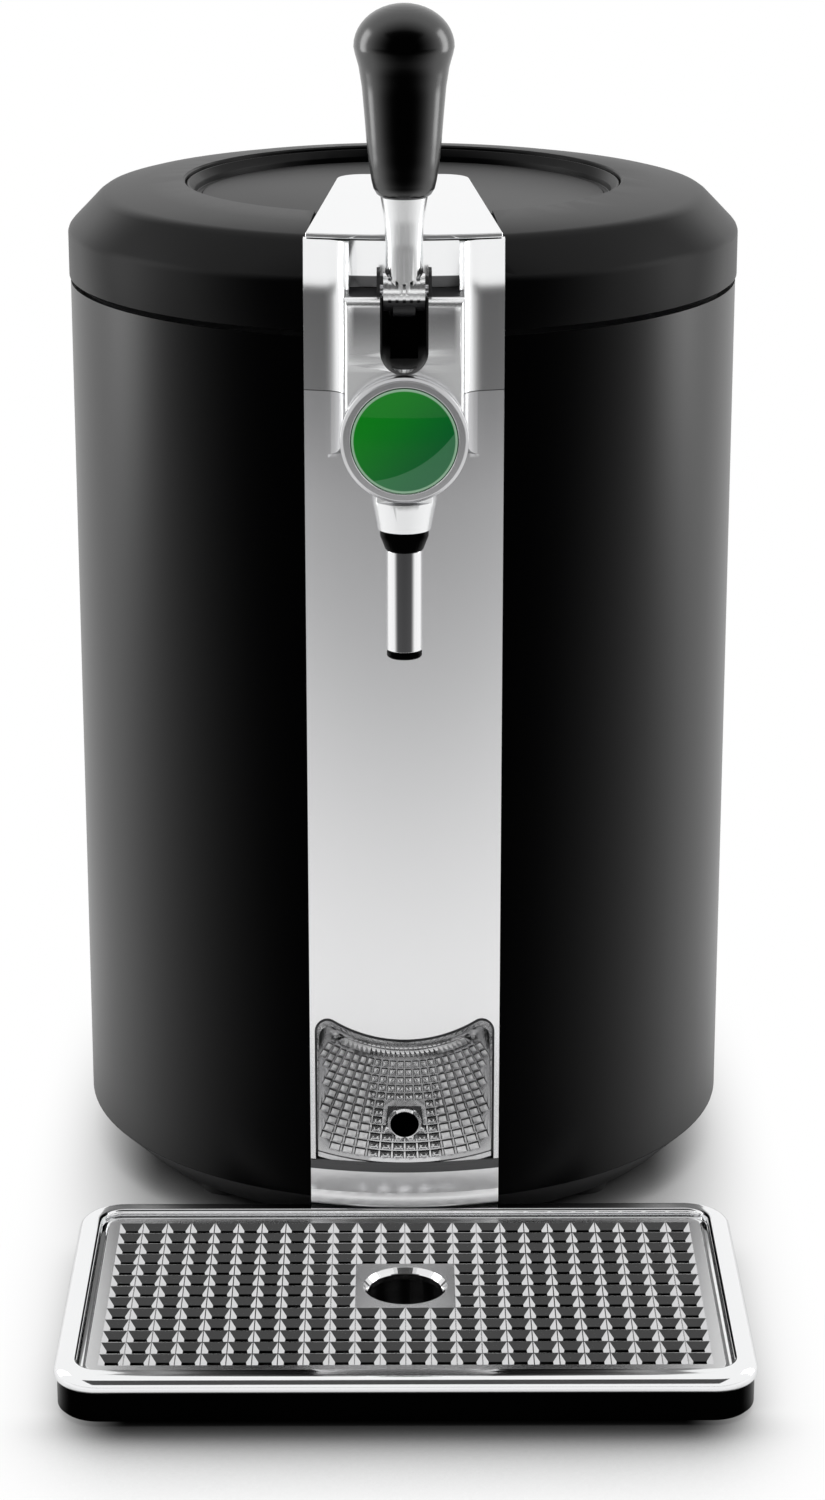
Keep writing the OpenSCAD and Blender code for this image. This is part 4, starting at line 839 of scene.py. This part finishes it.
class DISPENSER_OT_column(bpy.types.Operator):
    """Column, niche, splash grid and foot"""

    bl_idname = "dispenser.column"
    bl_label = "Column"
    # Angle in degrees above which the column's edges stay sharp, which keeps its long faces free of streaks
    sharp = 16.0

    def execute(self, context):
        rows = [z - step * MM for z in (SEAM_Z - 25 * MM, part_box("badge_ring")[0].z - 6 * MM) for step in (0, 2)]
        column = dress("column_panel", 1.0, angle=self.sharp, levels=rows)
        self.fill_below_badge(column)
        dress("niche_housing", 0.0, "housing_metal")
        dress("splash_grid", 0.0, "splash_steel")
        dress("column_foot", 0.3, "foot_steel")
        return {"FINISHED"}

    def fill_below_badge(self, column):
        """Closes the foot of the tap's opening, so that the column's front runs up behind the badge."""
        low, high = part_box("badge_ring")
        form = bmesh.new()
        form.from_mesh(column.data)
        steps, half = 24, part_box("tap_head")[1].x + 2.5 * MM
        rows = []
        for radius in (COLUMN_R + 0.03 * MM, COLUMN_R - 1.6 * MM):
            for z in (low.z - 7 * MM, low.z + 12 * MM):
                xs = [half * (2 * i / steps - 1) for i in range(steps + 1)]
                rows.append([form.verts.new((x, AXIS_Y - math.sqrt(radius ** 2 - x * x), z)) for x in xs])
        front_low, front_high, back_low, back_high = rows
        sides = ((front_low, front_high), (front_high, back_high), (back_high, back_low), (back_low, front_low))
        for first, second in sides:
            for i in range(steps):
                form.faces.new((first[i], first[i + 1], second[i + 1], second[i]))
        form.faces.new((front_low[0], front_high[0], back_high[0], back_low[0]))
        form.faces.new((front_low[-1], back_low[-1], back_high[-1], front_high[-1]))
        for face in form.faces:
            face.smooth = True
        form.to_mesh(column.data)
        form.free()
        column.data.set_sharp_from_angle(angle=math.radians(self.sharp))


class DISPENSER_OT_tray(bpy.types.Operator):
    """Drip tray, its rim and its grid"""

    bl_idname = "dispenser.tray"
    bl_label = "Drip tray"

    def execute(self, context):
        dress("drip_tray", 0.6)
        dress("tray_rim", 0.3)
        settings = context.scene.dispenser
        low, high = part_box("drip_grid")
        self.top, self.foot, self.drain_z = high.z / MM, high.z / MM - GRID_T, low.z / MM
        self.half = ((high.x - low.x) / 2 / MM, (high.y - low.y) / 2 / MM)
        pitch = settings.pit_pitch
        # Half the width of the flat square, and where its middle lies
        flat = pitch * FLAT_CELLS
        flat_y = pitch * (settings.pit_lines / 2 - ROWS_BEHIND - FLAT_CELLS)
        plate = self.plate(settings, flat, flat_y)
        mesh = self.pits(settings, flat, flat_y).mesh_of(plate, FINISH["grid_steel"])
        piece = add_piece("drip_grid_skin", mesh, "grid", SLOTS["drip_grid"], "drip_grid")
        paint(piece, "grid_steel")
        return {"FINISHED"}

    def plate(self, settings, flat, flat_y):
        """The grid's border, edge and flat square with its drain; the pits fill the room left between them."""
        pitch, cols, lines = settings.pit_pitch, settings.pit_columns, settings.pit_lines
        top, foot, drain_z = self.top, self.foot, self.drain_z
        half_x, half_y = self.half
        form = bmesh.new()
        edge = [
            rounded_loop(half_x - inset, half_y - inset, GRID_CORNER, z)
            for inset, z in ((0.2, top), (0.05, top - 0.06), (0.0, top - 0.2), (0.0, foot))
        ]
        band(form, edge)
        middle = (0.0, flat_y)
        sunk = DRAIN_R + DRAIN_LIP
        for z, rim, drain_r in ((top, edge[0], sunk + 0.15), (foot, edge[-1], DRAIN_R + DRAIN_WALL)):
            holed(form, rim, stepped_loop(pitch * cols / 2, pitch * lines / 2, cols, lines, z))
            square = stepped_loop(flat, flat, 2 * FLAT_CELLS, 2 * FLAT_CELLS, z, flat_y)
            holed(form, square, turned(drain_r, z, 64, middle))
        band(form, [turned(radius, z, 64, middle) for radius, z in (
            (sunk + 0.15, top), (sunk, top - 0.08), (DRAIN_R + 0.2, top - DRAIN_LIP + 0.15),
            (DRAIN_R, top - DRAIN_LIP - 0.1), (DRAIN_R, drain_z),
            (DRAIN_R + DRAIN_WALL, drain_z), (DRAIN_R + DRAIN_WALL, foot),
        )])
        bmesh.ops.scale(form, vec=(MM, MM, MM), verts=form.verts)
        bmesh.ops.translate(form, vec=(0, TRAY_Y, 0), verts=form.verts)
        mesh = bpy.data.meshes.new("drip_grid_plate")
        form.to_mesh(mesh)
        form.free()
        return mesh

    def pits(self, settings, flat, flat_y):
        """The square tapering pits on their square pitch, left out where the flat square is."""
        tree = Pattern(
            "drip_grid_pits", Pitch=settings.pit_pitch * MM, Columns=settings.pit_columns,
            Lines=settings.pit_lines, Top=settings.pit_top * MM, Foot=settings.pit_foot * MM,
            Thickness=GRID_T * MM, Level=self.foot * MM, Flat=flat * MM, Flat_Y=flat_y * MM, Tray_Y=TRAY_Y,
        )
        pitch, deep, corner = tree.given("Pitch"), tree.given("Thickness"), math.sqrt(2.0)

        def ring(top, foot, height, lift):
            cone = tree.node(
                "GeometryNodeMeshCone", {"fill_type": "NONE"},
                {"Vertices": 4, "Radius Top": top * corner, "Radius Bottom": foot * corner, "Depth": height},
            )
            return tree.node(
                "GeometryNodeTransform", {},
                {"Geometry": cone, "Translation": tree.vector(z=lift), "Rotation": (0, 0, math.radians(45))},
            )

        cell = tree.node("GeometryNodeJoinGeometry", {}, {0: [
            ring(tree.given("Top"), pitch * 0.5, 0.0, deep),
            ring(tree.given("Top"), tree.given("Foot"), deep, 0.0),
            ring(pitch * 0.5, tree.given("Foot"), 0.0, 0.0),
        ]})
        cols, lines = tree.given("Columns"), tree.given("Lines")
        field = tree.node("GeometryNodeMeshGrid", {}, {
            "Size X": (cols - 1.0) * pitch, "Size Y": (lines - 1.0) * pitch, "Vertices X": cols, "Vertices Y": lines,
        })
        x, y, _ = tree.split(tree.node("GeometryNodeInputPosition"))
        off = x.maths("ABSOLUTE").maths("MAXIMUM", (y - tree.given("Flat_Y")).maths("ABSOLUTE"))
        copies = tree.node("GeometryNodeInstanceOnPoints", {}, {
            "Points": field, "Selection": off.maths("GREATER_THAN", tree.given("Flat")), "Instance": cell,
        })
        placed = tree.node("GeometryNodeTransform", {}, {
            "Geometry": copies, "Translation": tree.vector(y=tree.given("Tray_Y"), z=tree.given("Level")),
        })
        tree.result = tree.node("GeometryNodeJoinGeometry", {}, {0: [placed, tree.given()]})
        return tree


def lamp(name, place, target, size, power, size_y=None):
    light = bpy.data.lights.new(name, "AREA")
    light.shape = "RECTANGLE"
    light.size = size
    light.size_y = size_y or size
    light.energy = power
    holder = bpy.data.objects.new(name, light)
    bpy.context.scene.collection.objects.link(holder)
    holder.location = place
    holder.rotation_euler = (Vector(target) - Vector(place)).to_track_quat("-Z", "Y").to_euler()
    holder.visible_camera = False
    return holder


def plane(name, corners, material):
    mesh = bpy.data.meshes.new(name)
    mesh.from_pydata(corners, [], [tuple(range(len(corners)))])
    mesh.materials.append(material)
    card = bpy.data.objects.new(name, mesh)
    bpy.context.scene.collection.objects.link(card)
    return card


class DISPENSER_OT_stage(bpy.types.Operator):
    """Floor, white surroundings, lights and camera"""

    bl_idname = "dispenser.stage"
    bl_label = "Stage"

    def floor(self, studio):
        """Pale floor that keeps the machine's shadow, with painted shade from ambient occlusion in its colour,
        strongest where the tray's front edge stands on it.

        Away from the machine the camera sees it plain white, and metal mirrors it paler nearby than far in front.
        """
        shade = Shade("studio_floor", roughness=0.9, specular_ior_level=0.0)
        x, y, _ = shade.axes()
        far_off = (((x * x) * 1.9 + y * y) ** 0.5).ramp(*FLOOR_FADE)
        # Painted shadow: ambient occlusion darkens the floor's colour near the machine, raised to a higher power in
        # front of the tray's front edge.
        near = shade.node("ShaderNodeAmbientOcclusion", {"samples": 24}, {"Distance": 0.06}, output=1)
        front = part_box("drip_tray")[0].y
        contact = near ** y.ramp(front - 0.008, front + 0.012, 5.0, 1.0)
        shade.drive("Base Color", shade.mix(contact, opaque((0.02, 0.02, 0.02)), opaque(studio.floor_colour)))
        tones = shade.node(
            "ShaderNodeValToRGB",
            {"stops": [(place, (tone, tone, tone)) for place, tone in FLOOR_TONES]},
            {"Fac": y.ramp(-4.0, 0.0, ease="LINEAR")},
        )
        open_floor = far_off.maths("MAXIMUM", x.maths("ABSOLUTE").ramp(0.10, 0.16))
        shown = shade.blend(shade.ray("Camera") * open_floor, shade.lit(), shade.emission(WHITE, 1.0))
        ahead = shade.ray("Glossy") * y.ramp(-0.30, -0.24, 1.0, 0.0).maths("MAXIMUM", far_off)
        shade.show(shade.blend(ahead, shown, shade.emission(tones, 1.0)))
        corners = [(sx * FLOOR_HALF, sy * FLOOR_HALF, 0) for sx, sy in ((-1, -1), (1, -1), (1, 1), (-1, 1))]
        plane("studio_floor", corners, shade.material)

    def surroundings(self, scene):
        """Soft light from all round, which the camera and polished faces see as plain white."""
        scene.world = bpy.data.worlds.new("studio_world")
        scene.world.use_nodes = True
        scene.world.node_tree.nodes.clear()
        sky = Graph(scene.world.node_tree)
        soft, white = (
            sky.node("ShaderNodeBackground", {}, {"Color": WHITE, "Strength": strength})
            for strength in (SKY_LIGHT, 1.0)
        )
        both = sky.blend(sky.ray("Camera").maths("MAXIMUM", sky.ray("Glossy")), soft, white)
        sky.node("ShaderNodeOutputWorld", {}, {"Surface": both}, output=None)

    def flag(self):
        """Dark flag above the camera, which only polished faces that look up at it mirror."""
        shade = Shade("studio_flag", roughness=1.0)
        shade.show(shade.emission(WHITE, FLAG_LIGHT))
        card = plane(
            "studio_flag", [(-1.3, -4.0, 1.8), (1.3, -4.0, 1.8), (1.3, -0.85, 1.8), (-1.3, -0.85, 1.8)],
            shade.material,
        )
        for ray in ("camera", "diffuse", "transmission", "shadow"):
            setattr(card, "visible_" + ray, False)

    def execute(self, context):
        studio = context.scene.dispenser_studio
        scene = context.scene
        self.floor(studio)
        self.surroundings(scene)
        self.flag()
        top = lamp("top_light", (0, 0.4, 2.0), (0, 0.4, 0), 2.4, studio.top_power)
        top.visible_glossy = False
        for name, side in (("left_light", -1.3), ("right_light", 1.3)):
            lamp(name, (side, 0.35, 0.6), (0, 0.07, 0.25), 0.5, studio.side_power, 1.2)
        self.camera(scene)
        scene.view_settings.view_transform = "Standard"
        return {"FINISHED"}

    def camera(self, scene):
        """The photograph's camera, solved from its ellipses and from the drip grid's square pitch."""
        view = bpy.data.cameras.new("photo_camera")
        view.sensor_fit = "VERTICAL"
        view.sensor_height = CAMERA_SENSOR_MM
        view.lens = CAMERA_LENS_MM
        view.clip_end = 20.0
        camera = bpy.data.objects.new("photo_camera", view)
        scene.collection.objects.link(camera)
        camera.location = CAMERA_PLACE
        camera.rotation_euler = (math.radians(90 - CAMERA_DOWN), 0.0, CAMERA_ROLL)
        scene.camera = camera


STEPS = (
    DISPENSER_OT_finishes,
    DISPENSER_OT_casing,
    DISPENSER_OT_column,
    DISPENSER_OT_tap,
    DISPENSER_OT_tray,
    DISPENSER_OT_stage,
)


class DISPENSER_PT_panel(bpy.types.Panel):
    """Lists the dispenser's settings and steps"""

    bl_label = "Beer dispenser"
    bl_idname = "DISPENSER_PT_panel"
    bl_space_type = "VIEW_3D"
    bl_region_type = "UI"
    bl_category = "Dispenser"

    def draw(self, context):
        for group in (context.scene.dispenser, context.scene.dispenser_studio):
            for key in group.__annotations__:
                self.layout.prop(group, key)
        for step in STEPS:
            self.layout.operator(step.bl_idname)


CLASSES = (DispenserSettings, StudioSettings, *STEPS, DISPENSER_PT_panel)


def register():
    for cls in CLASSES:
        bpy.utils.register_class(cls)
    bpy.types.Scene.dispenser = PointerProperty(type=DispenserSettings)
    bpy.types.Scene.dispenser_studio = PointerProperty(type=StudioSettings)


def unregister():
    del bpy.types.Scene.dispenser_studio
    del bpy.types.Scene.dispenser
    for cls in reversed(CLASSES):
        bpy.utils.unregister_class(cls)


def main():
    register()
    bpy.ops.dispenser.finishes()
    bpy.ops.dispenser.casing()
    bpy.ops.dispenser.column()
    bpy.ops.dispenser.tap()
    bpy.ops.dispenser.tray()
    bpy.ops.dispenser.stage()
    bpy.context.view_layer.update()


if __name__ == "__main__":
    main()
